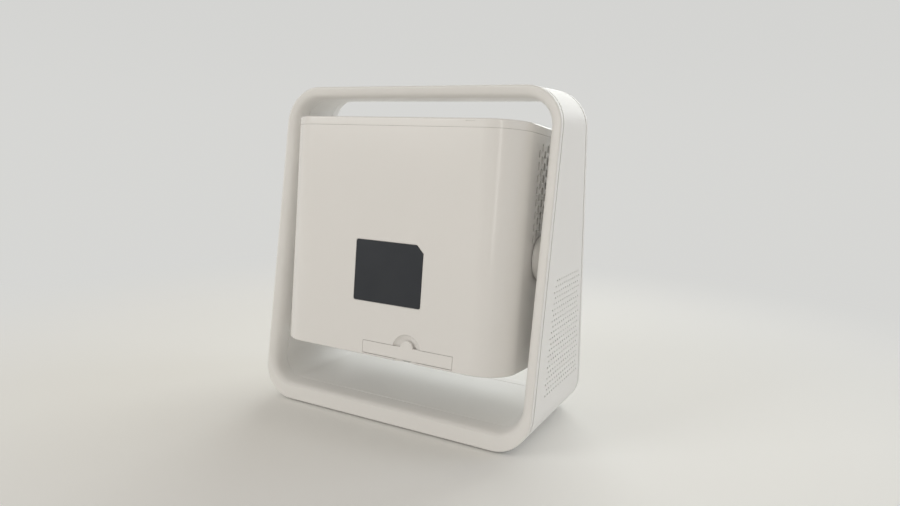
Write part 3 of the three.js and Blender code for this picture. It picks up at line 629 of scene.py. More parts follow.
def along_z(outline: Iterable[Flat], z: float) -> list[Point]:
    """Lay an (x, y) outline at z."""
    return [(x, y, z) for x, y in outline]


@dataclass
class Solid:
    """A closed mesh in millimetres.

    Attributes:
        points: its corners.
        faces: its faces, as indices of corners.
    """

    points: list[Point]
    faces: list[tuple[int, ...]]

    @staticmethod
    def gather(solids: Iterable["Solid"]) -> "Solid":
        """Put solids that don't touch into one mesh.

        Args:
            solids: the solids.

        Returns:
            One mesh with all of them.
        """
        points: list[Point] = []
        faces: list[tuple[int, ...]] = []
        for solid in solids:
            start = len(points)
            points.extend(solid.points)
            faces.extend(tuple(start + corner for corner in face) for face in solid.faces)
        return Solid(points, faces)

    def placed(self, matrix: Matrix) -> "Solid":
        """Return the solid moved by a matrix."""
        return Solid([tuple(matrix @ Vector(point)) for point in self.points], self.faces)

    def moved(self, x: float = 0.0, y: float = 0.0, z: float = 0.0) -> "Solid":
        """Return the solid moved along the axes."""
        return Solid([(px + x, py + y, pz + z) for px, py, pz in self.points], self.faces)

    def mirrored(self) -> "Solid":
        """Return the solid mirrored in X.

        Returns:
            A new solid, its faces still turned outwards.
        """
        return Solid(
            [(-x, y, z) for x, y, z in self.points],
            [tuple(reversed(face)) for face in self.faces],
        )

    def mesh(self, name: str) -> bpy.types.Mesh:
        """Return a Blender mesh with its faces turned outwards.

        Args:
            name: the mesh's name.

        Returns:
            The mesh, in the solid's own unit.
        """
        mesh = bpy.data.meshes.new(name)
        mesh.from_pydata(self.points, [], self.faces)
        work = bmesh.new()
        work.from_mesh(mesh)
        bmesh.ops.recalc_face_normals(work, faces=work.faces)
        work.to_mesh(mesh)
        work.free()
        return mesh

    def _combined(self, tool: "Solid", how: Combine) -> "Solid":
        """Combine two solids with Blender's manifold solver.

        Args:
            tool: the other solid.
            how: how the two are put together.

        Returns:
            What the solver makes of them.
        """
        pair = [bpy.data.objects.new("work", solid.mesh("work")) for solid in (self, tool)]
        for part in pair:
            bpy.context.scene.collection.objects.link(part)
        modifier = pair[0].modifiers.new("combine", "BOOLEAN")
        modifier.operation = how.value
        modifier.solver = "MANIFOLD"
        modifier.object = pair[1]
        seen = pair[0].evaluated_get(bpy.context.evaluated_depsgraph_get())
        mesh = seen.to_mesh()
        made = Solid(
            [tuple(vertex.co) for vertex in mesh.vertices],
            [tuple(face.vertices) for face in mesh.polygons],
        )
        seen.to_mesh_clear()
        for part in pair:
            bpy.data.meshes.remove(part.data)
        if not made.faces:
            raise RuntimeError(f"{how.name} left nothing of a solid")
        return made

    def cut(self, *tools: "Solid") -> "Solid":
        """Return the solid less the tools, one after another.

        Args:
            tools: what is taken away.

        Returns:
            The rest.
        """
        rest = self
        for tool in tools:
            rest = rest._combined(tool, Combine.CUT)
        return rest

    def kept(self, tool: "Solid") -> "Solid":
        """Return what the solid shares with the tool."""
        return self._combined(tool, Combine.KEEP)

    def joined(self, other: "Solid") -> "Solid":
        """Return the solid with the other one melted on."""
        return self._combined(other, Combine.JOIN)


def loft(curves: Sequence[Sequence[Point]], ring: bool = False) -> Solid:
    """Return the solid through closed curves with as many points each.

    Args:
        curves: the curves, in order.
        ring: True joins the last to the first; False caps both end curves.

    Returns:
        A closed solid.
    """
    count = len(curves[0])
    points = [point for curve in curves for point in curve]
    faces: list[tuple[int, ...]] = []
    for row in range(len(curves) if ring else len(curves) - 1):
        near, far = row * count, (row + 1) % len(curves) * count
        for step in range(count):
            after = (step + 1) % count
            faces.append((near + step, near + after, far + after, far + step))
    if not ring:
        faces.append(tuple(reversed(range(count))))
        faces.append(tuple(range(len(points) - count, len(points))))
    return Solid(points, faces)


def prism(outline: Sequence[Flat], stand: Stand, low: float, high: float) -> Solid:
    """Return the solid between an outline's two places along one axis."""
    return loft([stand(outline, low), stand(outline, high)])


def edged_panel(
    outline: Callable[[float], list[Flat]], back: float, face: float, edge: float
) -> Solid:
    """Return a panel across Y whose face has a broken edge.

    Args:
        outline: its (x, z) outline, widened by a distance.
        back: the place of its back.
        face: the place of its face.
        edge: size of the broken edge.

    Returns:
        A closed solid.
    """
    inwards = math.copysign(edge, back - face)
    return loft([
        along_y(outline(0.0), back),
        along_y(outline(0.0), face + inwards),
        along_y(outline(-edge), face),
    ])


def box(low: Point, high: Point) -> Solid:
    """Return a block from its lowest corner to its highest one."""
    outline = [(low[0], low[1]), (high[0], low[1]), (high[0], high[1]), (low[0], high[1])]
    return prism(outline, along_z, low[2], high[2])


def turned(profile: Sequence[Flat], sides: int) -> Solid:
    """Return the solid swept by (radius, height) points round Z.

    Args:
        profile: points that start and end on the axis, or make a closed ring off it.
        sides: facets round the axis.

    Returns:
        A closed solid about Z.
    """
    on_axis = profile[0][0] == 0
    rings = profile[1:-1] if on_axis else profile
    curves = [along_z(circle(radius, sides), height) for radius, height in rings]
    solid = loft(curves, ring=not on_axis)
    if not on_axis:
        return solid
    tips = len(solid.points)
    points = [*solid.points, (0.0, 0.0, profile[0][1]), (0.0, 0.0, profile[-1][1])]
    faces = solid.faces[:-2]
    last = tips - sides
    for step in range(sides):
        after = (step + 1) % sides
        faces.append((after, step, tips))
        faces.append((last + step, last + after, tips + 1))
    return Solid(points, faces)


def round_bar(radius: float, low: float, high: float, sides: int = 48) -> Solid:
    """Return a plain bar along Z."""
    return prism(circle(radius, sides), along_z, low, high)


def rounded_bar(
    radius: float, low: float, high: float, edge: float, steps: int = 5, sides: int = 64
) -> Solid:
    """Return a bar along Z whose end edges are rounded.

    Args:
        radius: the bar's radius.
        low: its lower end.
        high: its upper end.
        edge: radius of the rounding.
        steps: parts of the rounding.
        sides: facets round the axis.

    Returns:
        The bar, about Z.
    """
    top = quarter((radius - edge, high - edge), edge, 0.0, steps)
    foot = [(x, low + high - z) for x, z in reversed(top)]
    return turned([(0.0, low), *foot, *top, (0.0, high)], sides)


# Pieces


@dataclass
class Workshop:
    """Places finished meshes in the scene and dresses the frame's nodes.

    Attributes:
        sharp: edges steeper than this many degrees stay sharp.
    """

    frame: dict[str, Any]
    sharp: float = 32.0

    def piece(
        self,
        name: str,
        solid: Solid,
        finish: Finish,
        body: Body,
        node: str,
    ) -> None:
        """Make a piece of the visual model.

        Args:
            name: the piece's name.
            solid: its shape, in millimetres of the row frame.
            finish: its finish.
            body: the CAD body it rides on.
            node: the CAD node that it replaces.
        """
        mesh = solid.placed(Matrix.Scale(MM, 4)).mesh(name)
        mesh.polygons.foreach_set("use_smooth", [True] * len(mesh.polygons))
        mesh.set_sharp_from_angle(angle=math.radians(self.sharp))
        mesh.materials.append(finish.material())
        made = bpy.data.objects.new(name, mesh)
        bpy.context.scene.collection.objects.link(made)
        shading = made.modifiers.new("even shading", "WEIGHTED_NORMAL")
        shading.keep_sharp = True
        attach(made, body.value)
        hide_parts(node)
        LOG.info("%s: %d faces, rides on %s", name, len(mesh.polygons), body.value)

    def dress(self, nodes: Iterable[str], finish: Finish) -> None:
        """Give carried-over CAD nodes a finish.

        Args:
            nodes: the nodes' names.
            finish: the finish.
        """
        for node in nodes:
            carried = self.frame["nodes"][node]
            for holder in carried.material_slots:
                holder.material = finish.material()
            LOG.info("%s: carried over, %s", node, finish.name)


class Assembly:
    """A sub-assembly that draws its own pieces."""

    def build(self, shop: Workshop) -> None:
        """Place the assembly's pieces and dress its carried-over nodes."""
        raise NotImplementedError


@dataclass(frozen=True)
class LoopStand(Assembly):
    """The closed loop: outer band, two rims, inner liner and feet. Lengths in millimetres."""

    height: float = 230.0
    half_width: float = 108.0
    half_depth: float = 51.35
    rear_lean: float = math.radians(8.4)
    front_lean: float = math.radians(5.0)
    top_corner: float = 26.0
    bottom_corner: float = 25.0
    leg: float = 8.3
    base: float = 12.7
    opening_corner: float = 16.0
    face: float = 1.9
    face_at_base: float = 10.1
    face_corner: float = 21.0
    bevel_depth: float = 12.5
    bevel_fall: float = 2.4
    bevel_power: float = 3.5
    rim_edge: float = 1.2
    seam: float = 1.5
    seam_edge: float = 0.1
    seam_depth: float = 4.4
    rim_wall: float = 1.8
    band_wall: float = 1.8
    liner_wall: float = 1.6
    foot_radius: float = 7.0
    foot_proud: float = 1.2
    foot_sunk: float = 0.6
    foot_edge: float = 0.4
    foot_x: float = 76.0
    foot_y: float = 38.0
    pivot_height: float = 118.7
    shaft_radius: float = 6.0
    hole_radius: float = 0.8
    hole_sides: int = 12
    hole_pitch_y: float = 4.2
    hole_pitch_z: float = 3.7
    hole_rows: int = 21
    hole_bottom: float = 33.4
    hole_rear_margin: float = 19.3
    hole_front_margin: float = 10.4
    corner_steps: int = 28
    edge_steps: int = 6
    bevel_steps: int = 16

    @property
    def pivot_z(self) -> float:
        """Height of the pivot over the floor."""
        return self.foot_proud + self.pivot_height

    def rear_at(self, z: float) -> float:
        """Return where the rear face is at a height."""
        return self.half_depth - math.tan(self.rear_lean) * (z - self.foot_proud)

    def front_at(self, z: float) -> float:
        """Return where the front face is at a height."""
        return -self.half_depth + math.tan(self.front_lean) * (z - self.foot_proud)

    def outline(self, side: float, base: float, top: float, bottom: float) -> list[Flat]:
        """Return the loop's (x, z) outline, set in from its outer edge.

        Args:
            side: how far the sides and the top are set in.
            base: how far the foot is set in.
            top: radius of the top corners.
            bottom: radius of the bottom corners.

        Returns:
            The points, round from the lower right corner.
        """
        half = self.half_width - side
        low = self.foot_proud + base
        high = self.foot_proud + self.height - side
        steps = self.corner_steps
        return [
            *quarter((half - bottom, low + bottom), bottom, -QUARTER, steps),
            *quarter((half - top, high - top), top, 0.0, steps),
            *quarter((-half + top, high - top), top, QUARTER, steps),
            *quarter((-half + bottom, low + bottom), bottom, 2 * QUARTER, steps),
        ]

    def band_outline(self, inset: float) -> list[Flat]:
        """Return the outer outline, set in by one depth all round."""
        return self.outline(inset, inset, self.top_corner - inset, self.bottom_corner - inset)

    def bevel_outline(self, share: float) -> list[Flat]:
        """Return the outline between the rim's flat face and the opening.

        Args:
            share: 0 at the flat face, 1 at the opening.

        Returns:
            The (x, z) outline.
        """
        side = self.face + (self.leg - self.face) * share
        base = self.face_at_base + (self.base - self.face_at_base) * share
        bottom = self.face_corner + (self.opening_corner - self.face_corner) * share
        return self.outline(side, base, self.top_corner - side, bottom)

    def opening_outline(self, outset: float) -> list[Flat]:
        """Return the opening's outline, moved out into the loop's material.

        Args:
            outset: how far it is moved out.

        Returns:
            The (x, z) outline.
        """
        return self.outline(
            self.leg - outset,
            self.base - outset,
            self.top_corner - self.leg + outset,
            self.opening_corner + outset,
        )

    def behind_rear(self, outline: Iterable[Flat], depth: float) -> list[Point]:
        """Stand an outline at a depth behind the rear face."""
        return [(x, self.rear_at(z) - depth, z) for x, z in outline]

    def behind_front(self, outline: Iterable[Flat], depth: float) -> list[Point]:
        """Stand an outline at a depth behind the front face."""
        return [(x, self.front_at(z) + depth, z) for x, z in outline]

    def rim(self, stand: Stand) -> Solid:
        """Return a rim: rounded outer edge, flat face, convex bevel towards the opening.

        Args:
            stand: behind_rear or behind_front.

        Returns:
            The rim, in the row frame.
        """
        edge = [
            stand(
                self.band_outline(self.rim_edge * (1 - math.cos(turn))),
                self.rim_edge * (1 - math.sin(turn)),
            )
            for turn in turns(self.edge_steps)
        ]
        share = 2 / self.bevel_power
        deep = self.bevel_depth - self.bevel_fall
        bevel = [
            stand(
                self.bevel_outline(math.sin(turn) ** share),
                self.bevel_fall * math.sin(turn) ** share + deep * (1 - math.cos(turn) ** share),
            )
            for turn in turns(self.bevel_steps)[:-1]
        ]
        end = self.seam_depth - self.seam / 2
        return loft([
            stand(self.band_outline(self.seam_edge), end),
            stand(self.band_outline(0.0), end - self.seam_edge),
            *edge,
            *bevel,
            stand(self.opening_outline(0.0), self.bevel_depth - SOFT_EDGE),
            stand(self.opening_outline(SOFT_EDGE), self.bevel_depth),
            stand(self.opening_outline(self.rim_wall), self.bevel_depth),
            stand(self.bevel_outline(0.0), end),
        ], ring=True)

    def sleeve(
        self,
        outline: Callable[[float], list[Flat]],
        thickness: float,
        depth: float,
        edge: float,
    ) -> Solid:
        """Return a wall that runs from front to rear, with broken edges on its shown face.

        Args:
            outline: the wall's outline at a distance behind its shown face.
            thickness: the wall's thickness.
            depth: distance of both ends from the loop's front and rear.
            edge: size of the broken edges.

        Returns:
            The wall, in the row frame.
        """
        return loft([
            self.behind_front(outline(edge), depth),
            self.behind_front(outline(0.0), depth + edge),
            self.behind_rear(outline(0.0), depth + edge),
            self.behind_rear(outline(edge), depth),
            self.behind_rear(outline(thickness), depth),
            self.behind_front(outline(thickness), depth),
        ], ring=True)

    def hole_spots(self) -> list[Flat]:
        """Return the (y, z) places of the grille's holes on one leg, in staggered rows.

        Returns:
            The places, row by row from below.
        """
        spots = []
        for row in range(self.hole_rows):
            z = self.foot_proud + self.hole_bottom + row * self.hole_pitch_z
            shift = row % 2 * self.hole_pitch_y / 2
            low = (self.front_at(z) + self.hole_front_margin - shift) / self.hole_pitch_y
            high = (self.rear_at(z) - self.hole_rear_margin - shift) / self.hole_pitch_y
            steps = range(math.ceil(low), math.floor(high) + 1)
            spots += [(step * self.hole_pitch_y + shift, z) for step in steps]
        return spots

    def foot_spots(self) -> dict[str, Flat]:
        """Return the places of the feet by their names."""
        return four_corners(self.foot_x, self.foot_y)

    def grille_tools(self, side: Side) -> Solid:
        """Return the drills of one leg's grille.

        Args:
            side: which leg.

        Returns:
            All drills in one mesh.
        """
        outline = circle(self.hole_radius, self.hole_sides)
        near = side.value * (self.half_width - 2 * self.band_wall)
        far = side.value * (self.half_width + OVERRUN)
        return Solid.gather(
            prism(shifted(outline, y, z), along_x, near, far) for y, z in self.hole_spots()
        )

    def outer_band(self) -> Solid:
        """Return the outer band with its grilles and the seats of its feet.

        Returns:
            The band, in the row frame.
        """
        depth = self.seam_depth + self.seam / 2
        band = self.sleeve(self.band_outline, self.band_wall, depth, self.seam_edge)
        low, high = self.foot_proud - OVERRUN, self.foot_proud + self.foot_sunk
        seat = round_bar(self.foot_radius + GAP, low, high)
        seats = Solid.gather(seat.moved(x, y) for x, y in self.foot_spots().values())
        return band.cut(seats, *(self.grille_tools(side) for side in Side))

    def inner_liner(self) -> Solid:
        """Return the liner of the opening, with the holes of the pivot shafts.

        Returns:
            The liner, in the row frame.
        """
        depth = self.bevel_depth + GAP
        wall = self.sleeve(self.opening_outline, self.liner_wall, depth, SOFT_EDGE)
        reach = self.half_width
        hole = round_bar(self.shaft_radius + GAP, -reach, reach).placed(TO_X)
        return wall.cut(hole.moved(z=self.pivot_z))

    def foot(self) -> Solid:
        """Return a rubber foot, drawn over the origin."""
        top = self.foot_proud + self.foot_sunk - GAP
        return rounded_bar(self.foot_radius, 0.0, top, self.foot_edge)

    def build(self, shop: Workshop) -> None:
        """Build the loop's pieces.

        Args:
            shop: where the pieces are placed.
        """
        parts = {
            "loop_band": (self.outer_band(), "outer_band"),
            "loop_rear_rim": (self.rim(self.behind_rear), "rear_rim"),
            "loop_front_rim": (self.rim(self.behind_front), "front_rim"),
            "loop_liner": (self.inner_liner(), "inner_liner"),
        }
        for name, (solid, node) in parts.items():
            shop.piece(name, solid, LOOP_WHITE, Body.STAND, node)
        for place, (x, y) in self.foot_spots().items():
            solid = self.foot().moved(x, y)
            shop.piece(f"pad_{place}", solid, RUBBER, Body.STAND, f"foot_{place}")
        shop.dress(["speaker_left", "speaker_right"], BLACK_PLASTIC)


@dataclass(frozen=True)
class Pivots(Assembly):
    """The discs between the loop and the column, and the shafts' hardware."""

    loop: LoopStand
    near: float = 90.6
    radius: float = 16.3
    neck_radius: float = 14.6
    neck_length: float = 1.5
    edge: float = 0.8
    edge_steps: int = 6
    sides: int = 96

    def boss(self) -> Solid:
        """Return the right-hand disc: a neck at the column, then the disc with a round edge.

        Returns:
            The disc, in the row frame.
        """
        far = self.loop.half_width - self.loop.leg - GAP
        start = self.near + self.neck_length
        bore = self.loop.shaft_radius + GAP
        centre = (self.radius - self.edge, start + self.edge)
        profile = [
            (bore, self.near),
            (self.neck_radius, self.near),
            (self.neck_radius, start),
            *quarter(centre, self.edge, -QUARTER, self.edge_steps),
            (self.radius, far),
            (bore, far),
        ]
        return turned(profile, self.sides).placed(TO_X).moved(z=self.loop.pivot_z)

    def build(self, shop: Workshop) -> None:
        """Build both discs and dress the hardware.

        Args:
            shop: where the pieces are placed.
        """
        for side in Side:
            solid = self.boss() if side is Side.RIGHT else self.boss().mirrored()
            name = side.name.lower()
            shop.piece(
                f"disc_{name}", solid, LOOP_WHITE, Body.STAND, f"pivot_boss_{name}"
            )
            shop.dress([f"pivot_shaft_{name}", f"pivot_nut_{name}"], STEEL)
            shop.dress([f"friction_washer_{name}"], BLACK_PLASTIC)
            shop.dress([f"pivot_bush_{name}"], UNDERSIDE_GREY)


@dataclass(frozen=True)
class Column(Assembly):
    """The projector's housing, drawn about its own middle and turned to its rest tilt."""

    loop: LoopStand
    pivot_drop: float = 5.5
    tilt: float = math.radians(5.1)
    half_width: float = 90.0
    half_depth: float = 50.0
    half_height: float = 80.2
    corner: float = 24.0
    wall: float = 2.2
    foot_edge: float = 1.0
    top_edge: float = 1.4
    parting_y: float = -20.0
    cap_depth: float = 5.9
    cap_seam: float = 0.12
    cap_seam_edge: float = 0.05
    cap_lip: float = 3.0
    lip_wall: float = 1.5
    tray: float = 2.0
    slot_columns: int = 6
    slot_rows: int = 8
    slot_width: float = 2.9
    slot_height: float = 5.2
    slot_pitch_y: float = 4.8
    slot_pitch_z: float = 7.9
    slot_centre_y: float = 1.2
    slot_centre_z: float = 36.39
    slot_clear: float = 16.3
    slot_power: float = 0.72  # below 1 the hexagon's sides bulge
    slot_sides: int = 20
    slot_edge: float = 0.35
    plate_width: float = 52.7
    plate_height: float = 41.5
    plate_x: float = -3.35
    plate_z: float = -22.6
    plate_cut: float = 5.2
    plate_corner: float = 1.4
    plate_thickness: float = 0.3
    plate_proud: float = 0.1
    plate_edge: float = 0.08
    hatch_width: float = 69.0
    hatch_height: float = 8.3
    hatch_x: float = -21.3
    hatch_foot: float = 1.6
    hatch_thickness: float = 1.8
    hatch_edge: float = 0.35
    tab_radius: float = 4.6
    scoop_radius: float = 10.9
    scoop_depth: float = 3.2
    scoop_drop: float = 2.0
    scoop_wall: float = 1.6
    scoop_lip: float = 1.6
    scoop_overlap: float = 0.5
    scoop_steps: int = 24
    scoop_sides: int = 72
    lens_z: float = 22.0
    lens_opening: float = 30.0
    sensor_width: float = 16.0
    sensor_height: float = 8.0
    sensor_x: float = 52.0
    sensor_thickness: float = 1.6
    sensor_edge: float = 0.2
    pivot_hole: float = 8.6
    button_radius: float = 8.0
    notch_x: float = -57.0
    notch_width: float = 6.4
    notch_height: float = 0.6
    notch_depth: float = 0.5
    notch_drop: float = 1.6
    corner_steps: int = 28
    edge_steps: int = 6
    plate_steps: int = 6
    tab_steps: int = 12
    sensor_steps: int = 12
    sensor_flat: float = 0.01  # straight stretch left in its round ends
    lens_sides: int = 128
    button_sides: int = 64

    @property
    def shell_top(self) -> float:
        """Height of the shells' upper edge over the pivot."""
        return self.half_height - self.cap_depth

    @property
    def hatch_bottom(self) -> float:
        """Height of the hatch's lower edge."""
        return -self.half_height + self.hatch_foot

    @property
    def hatch_top(self) -> float:
        """Height of the hatch's upper edge."""
        return self.hatch_bottom + self.hatch_height

    @property
    def place(self) -> Matrix:
        """Matrix from the column's own frame to the row frame, both in millimetres.

        Returns:
            The matrix.
        """
        turn = Matrix.Rotation(self.tilt, 4, "X")
        lift = Matrix.Translation((0, 0, self.pivot_drop))
        return Matrix.Translation((0, 0, self.loop.pivot_z)) @ turn @ lift

    def curve(self, inset: float, z: float) -> list[Point]:
        """Return the column's outline at a height, set in all round."""
        x, y = 2 * (self.half_width - inset), 2 * (self.half_depth - inset)
        return along_z(rounded_rect(x, y, self.corner - inset, self.corner_steps), z)

    def slab(self, inset: float, low: float, high: float) -> Solid:
        """Return a plain slab of the column's outline."""
        return loft([self.curve(inset, low), self.curve(inset, high)])

    def end_curves(self, edge: float, end: float, direction: int) -> list[list[Point]]:
        """Return the curves that round the outer edge at an end.

        Args:
            edge: radius of the rounding.
            end: the end's height.
            direction: +1 for the upper end, -1 for the lower one.

        Returns:
            The curves, from the end inwards.
        """
        return [
            self.curve(edge * (1 - math.sin(t)), end - direction * edge * (1 - math.cos(t)))
            for t in turns(self.edge_steps)
        ]

    def hollow_tube(self) -> Solid:
        """Return the wall of both shells in one.

        Returns:
            The wall, in the column's own frame.
        """
        top = self.shell_top + (GAP - self.cap_seam) / 2
        outside = loft([
            *self.end_curves(self.foot_edge, -self.half_height, -1),
            self.curve(0.0, top - self.cap_seam_edge),
            self.curve(self.cap_seam_edge, top),
        ])
        inside = self.slab(self.wall, -self.half_height - OVERRUN, self.shell_top + OVERRUN)
        return outside.cut(inside)

    def half(self, y: float, direction: int) -> Solid:
        """Return all space in front of or behind a plane across the column.

        Args:
            y: the plane's place.
            direction: -1 for the front, +1 for the rear.

        Returns:
            A block that reaches well past the column.
        """
        reach = 2 * self.half_width
        far = direction * reach
        return box((-reach, min(y, far), -reach), (reach, max(y, far), reach))

    def slot_outline(self, grow: float) -> list[Flat]:
        """Return the (y, z) outline of an air slot: an upright hexagon with soft corners.

        Args:
            grow: how far it is widened all round.

        Returns:
            The points, about the slot's middle.
        """
        half, tip = self.slot_width / 2 + grow, self.slot_height / 2 + grow
        return [
            (
                half * math.copysign(abs(y) ** self.slot_power, y),
                tip * math.copysign(abs(z) ** self.slot_power, z),
            )
            for y, z in circle(1.0, self.slot_sides)
        ]

    def slot_spots(self) -> list[Flat]:
        """Return the (y, z) places of the air slots on one side, in staggered columns.

        Returns:
            The places, less those too near the pivot.
        """
        spots = []
        for column in range(self.slot_columns):
            middle = (self.slot_columns - 1) / 2
            y = self.slot_centre_y + (middle - column) * self.slot_pitch_y
            for row in range(self.slot_rows):
                stagger = (column % 2 - 0.5) * self.slot_pitch_z / 2
                z = self.slot_centre_z + (row - (self.slot_rows - 1) / 2) * self.slot_pitch_z
                spots.append((y, z + stagger))
        return [
            (y, z) for y, z in spots if math.hypot(y, z + self.pivot_drop) > self.slot_clear
        ]

    def slot_tools(self, side: Side) -> Solid:
        """Return the cutters of one side's air slots, with broken edges at the mouth.

        Args:
            side: which side.

        Returns:
            All cutters in one mesh.
        """
        wall = self.half_width
        layers = [
            (wall - self.wall - OVERRUN, 0.0),
            (wall - self.slot_edge, 0.0),
            (wall, self.slot_edge),
            (wall + OVERRUN, self.slot_edge + OVERRUN),
        ]
        return Solid.gather(
            loft([
                along_x(shifted(self.slot_outline(grow), y, z), side.value * x)
                for x, grow in layers
            ])
            for y, z in self.slot_spots()
        )

    def plate_outline(self, grow: float) -> list[Flat]:
        """Return the (x, z) outline of the rating plate, one corner cut off.

        Args:
            grow: how far it is widened all round.

        Returns:
            The points, at the plate's place.
        """
        x, z, r = self.plate_width / 2, self.plate_height / 2, self.plate_corner
        inner = [
            (-x + self.plate_cut, z),
            (-x, z - self.plate_cut),
            *quarter((-x + r, -z + r), r, 2 * QUARTER, self.plate_steps),
            *quarter((x - r, -z + r), r, 3 * QUARTER, self.plate_steps),
            *quarter((x - r, z - r), r, 0.0, self.plate_steps),
        ]
        wide, high = (x + grow) / x, (z + grow) / z
        return [(self.plate_x + px * wide, self.plate_z + pz * high) for px, pz in inner]

    def hatch_outline(self, grow: float) -> list[Flat]:
        """Return the (x, z) outline of the hatch with its half-round tab.

        Args:
            grow: how far it is widened all round.

        Returns:
            The points, at the hatch's place.
        """
        x, low, high = self.hatch_width / 2 + grow, self.hatch_bottom - grow, self.hatch_top + grow
        r, steps = self.tab_radius + grow, self.tab_steps
        tab = quarter((0.0, high), r, 0.0, steps) + quarter((0.0, high), r, QUARTER, steps)[1:]
        return shifted([(-x, low), (x, low), (x, high), *tab, (-x, high)], self.hatch_x, 0.0)

    def scoop_ball(self, grow: float) -> Solid:
        """Return the flattened ball that hollows the finger scoop.

        Args:
            grow: how much larger its radii are.

        Returns:
            The ball, at the scoop's place.
        """
        radius, depth = self.scoop_radius + grow, self.scoop_depth + grow
        arc = turns(self.scoop_steps, math.pi, -QUARTER)
        profile = [(radius * math.cos(turn), depth * math.sin(turn)) for turn in arc]
        profile[0], profile[-1] = (0.0, -depth), (0.0, depth)
        ball = turned(profile, self.scoop_sides).placed(TO_FRONT)
        return ball.moved(self.hatch_x, self.half_depth, self.hatch_top - self.scoop_drop)

    def rear_shell(self, tube: Solid) -> Solid:
        """Return the rear shell with its slots, plate recess, hatch opening and scoop.

        Args:
            tube: the wall of both shells.

        Returns:
            The shell, in the column's own frame.
        """
        inner, outside = self.half_depth - self.wall, self.half_depth + OVERRUN
        far = 2 * self.half_width
        dish = self.scoop_ball(self.scoop_wall).cut(
            self.half(inner + self.scoop_overlap, 1),
            box((-far, -far, -far), (far, far, self.hatch_top - self.scoop_lip)),
        )
        body = tube.kept(self.half(self.parting_y + GAP / 2, 1))
        recess = self.half_depth + self.plate_proud - self.plate_thickness - GAP
        plate = prism(self.plate_outline(GAP), along_y, recess, outside)
        side = self.hatch_width / 2 + GAP
        opening = box(
            (self.hatch_x - side, inner - OVERRUN, self.hatch_bottom - GAP),
            (self.hatch_x + side, outside, self.hatch_top + GAP),
        )
        seat = self.half_depth - self.hatch_thickness - GAP
        pocket = prism(self.hatch_outline(GAP), along_y, seat, outside)
        reach = self.half_width + OVERRUN
        hole = round_bar(self.pivot_hole, -reach, reach).placed(TO_X).moved(z=-self.pivot_drop)
        slots = [self.slot_tools(side) for side in Side]
        body = body.cut(plate, opening, hole, *slots).joined(dish)
        return body.cut(pocket, self.scoop_ball(0.0))

    def front_shell(self, tube: Solid) -> Solid:
        """Return the front shell with the openings of the lens and the sensor.

        Args:
            tube: the wall of both shells.

        Returns:
            The shell, in the column's own frame.
        """
        depth, radius = self.half_depth, self.lens_opening + GAP
        opening = round_bar(radius, depth - 2 * self.wall, depth + OVERRUN, self.lens_sides)
        low, high = -depth - OVERRUN, -depth + self.wall + OVERRUN
        sensor = prism(self.sensor_outline(GAP), along_y, low, high)
        kept = tube.kept(self.half(self.parting_y - GAP / 2, -1))
        return kept.cut(opening.placed(TO_FRONT).moved(z=self.lens_z), sensor)

    def sensor_outline(self, grow: float) -> list[Flat]:
        """Return the (x, z) outline of the sensor window.

        Args:
            grow: how far it is widened all round.

        Returns:
            The points, at the window's place.
        """
        width, height = self.sensor_width + 2 * grow, self.sensor_height + 2 * grow
        outline = rounded_rect(width, height, height / 2 - self.sensor_flat, self.sensor_steps)
        return shifted(outline, self.sensor_x, self.lens_z)

    def sensor_pane(self) -> Solid:
        """Return the sensor window with a broken edge.

        Returns:
            The pane, in the column's own frame.
        """
        face = -self.half_depth
        back = face + self.sensor_thickness
        return edged_panel(self.sensor_outline, back, face, self.sensor_edge)

    def top_cover(self) -> Solid:
        """Return the top cover with its lip, its pry notch and the button's hole.

        Returns:
            The cover, in the column's own frame.
        """
        low = self.shell_top + (GAP + self.cap_seam) / 2
        outside = loft([
            self.curve(self.cap_seam_edge, low),
            self.curve(0.0, low + self.cap_seam_edge),
            *reversed(self.end_curves(self.top_edge, self.half_height, 1)),
        ])
        ceiling = self.half_height - self.wall
        lip_low = self.shell_top - self.cap_lip
        lip_out = self.wall + GAP
        cover = outside.cut(self.slab(self.wall, lip_low, ceiling))
        lip = self.slab(lip_out, lip_low, ceiling + self.wall / 2).cut(
            self.slab(lip_out + self.lip_wall, lip_low - OVERRUN, ceiling)
        )
        radius, top = self.button_radius + GAP, self.half_height + OVERRUN
        hole = round_bar(radius, lip_low, top, self.button_sides)
        notch_top = self.half_height - self.notch_drop
        side, bottom = self.notch_width / 2, notch_top - self.notch_height
        notch = box(
            (self.notch_x - side, self.half_depth - self.notch_depth, bottom),
            (self.notch_x + side, self.half_depth + OVERRUN, notch_top),
        )
        return cover.joined(lip).cut(hole, notch)

    def rating_plate(self) -> Solid:
        """Return the bare rating plate with a broken edge.

        Returns:
            The plate, in the column's own frame.
        """
        face = self.half_depth + self.plate_proud
        back = face - self.plate_thickness
        return edged_panel(self.plate_outline, back, face, self.plate_edge)

    def filter_hatch(self) -> Solid:
        """Return the hatch with its tab, its lower edge broken so that it can swing.

        Returns:
            The hatch, in the column's own frame.
        """
        back = self.half_depth - self.hatch_thickness
        panel = prism(self.hatch_outline(0.0), along_y, back, self.half_depth)
        edge, reach = self.hatch_edge, self.hatch_width / 2 + OVERRUN
        bar = round_bar(edge, -2 * reach, 2 * reach, 32).placed(TO_X)
        corners = []
        for face, inwards in ((self.half_depth, -1), (back, 1)):
            centre = face + inwards * edge
            outer = face - inwards * OVERRUN
            block = box(
                (-reach, min(centre, outer), self.hatch_bottom - OVERRUN),
                (reach, max(centre, outer), self.hatch_bottom + edge),
            )
            corners.append(block.cut(bar.moved(y=centre, z=self.hatch_bottom + edge)))
        return panel.cut(*(corner.moved(x=self.hatch_x) for corner in corners))

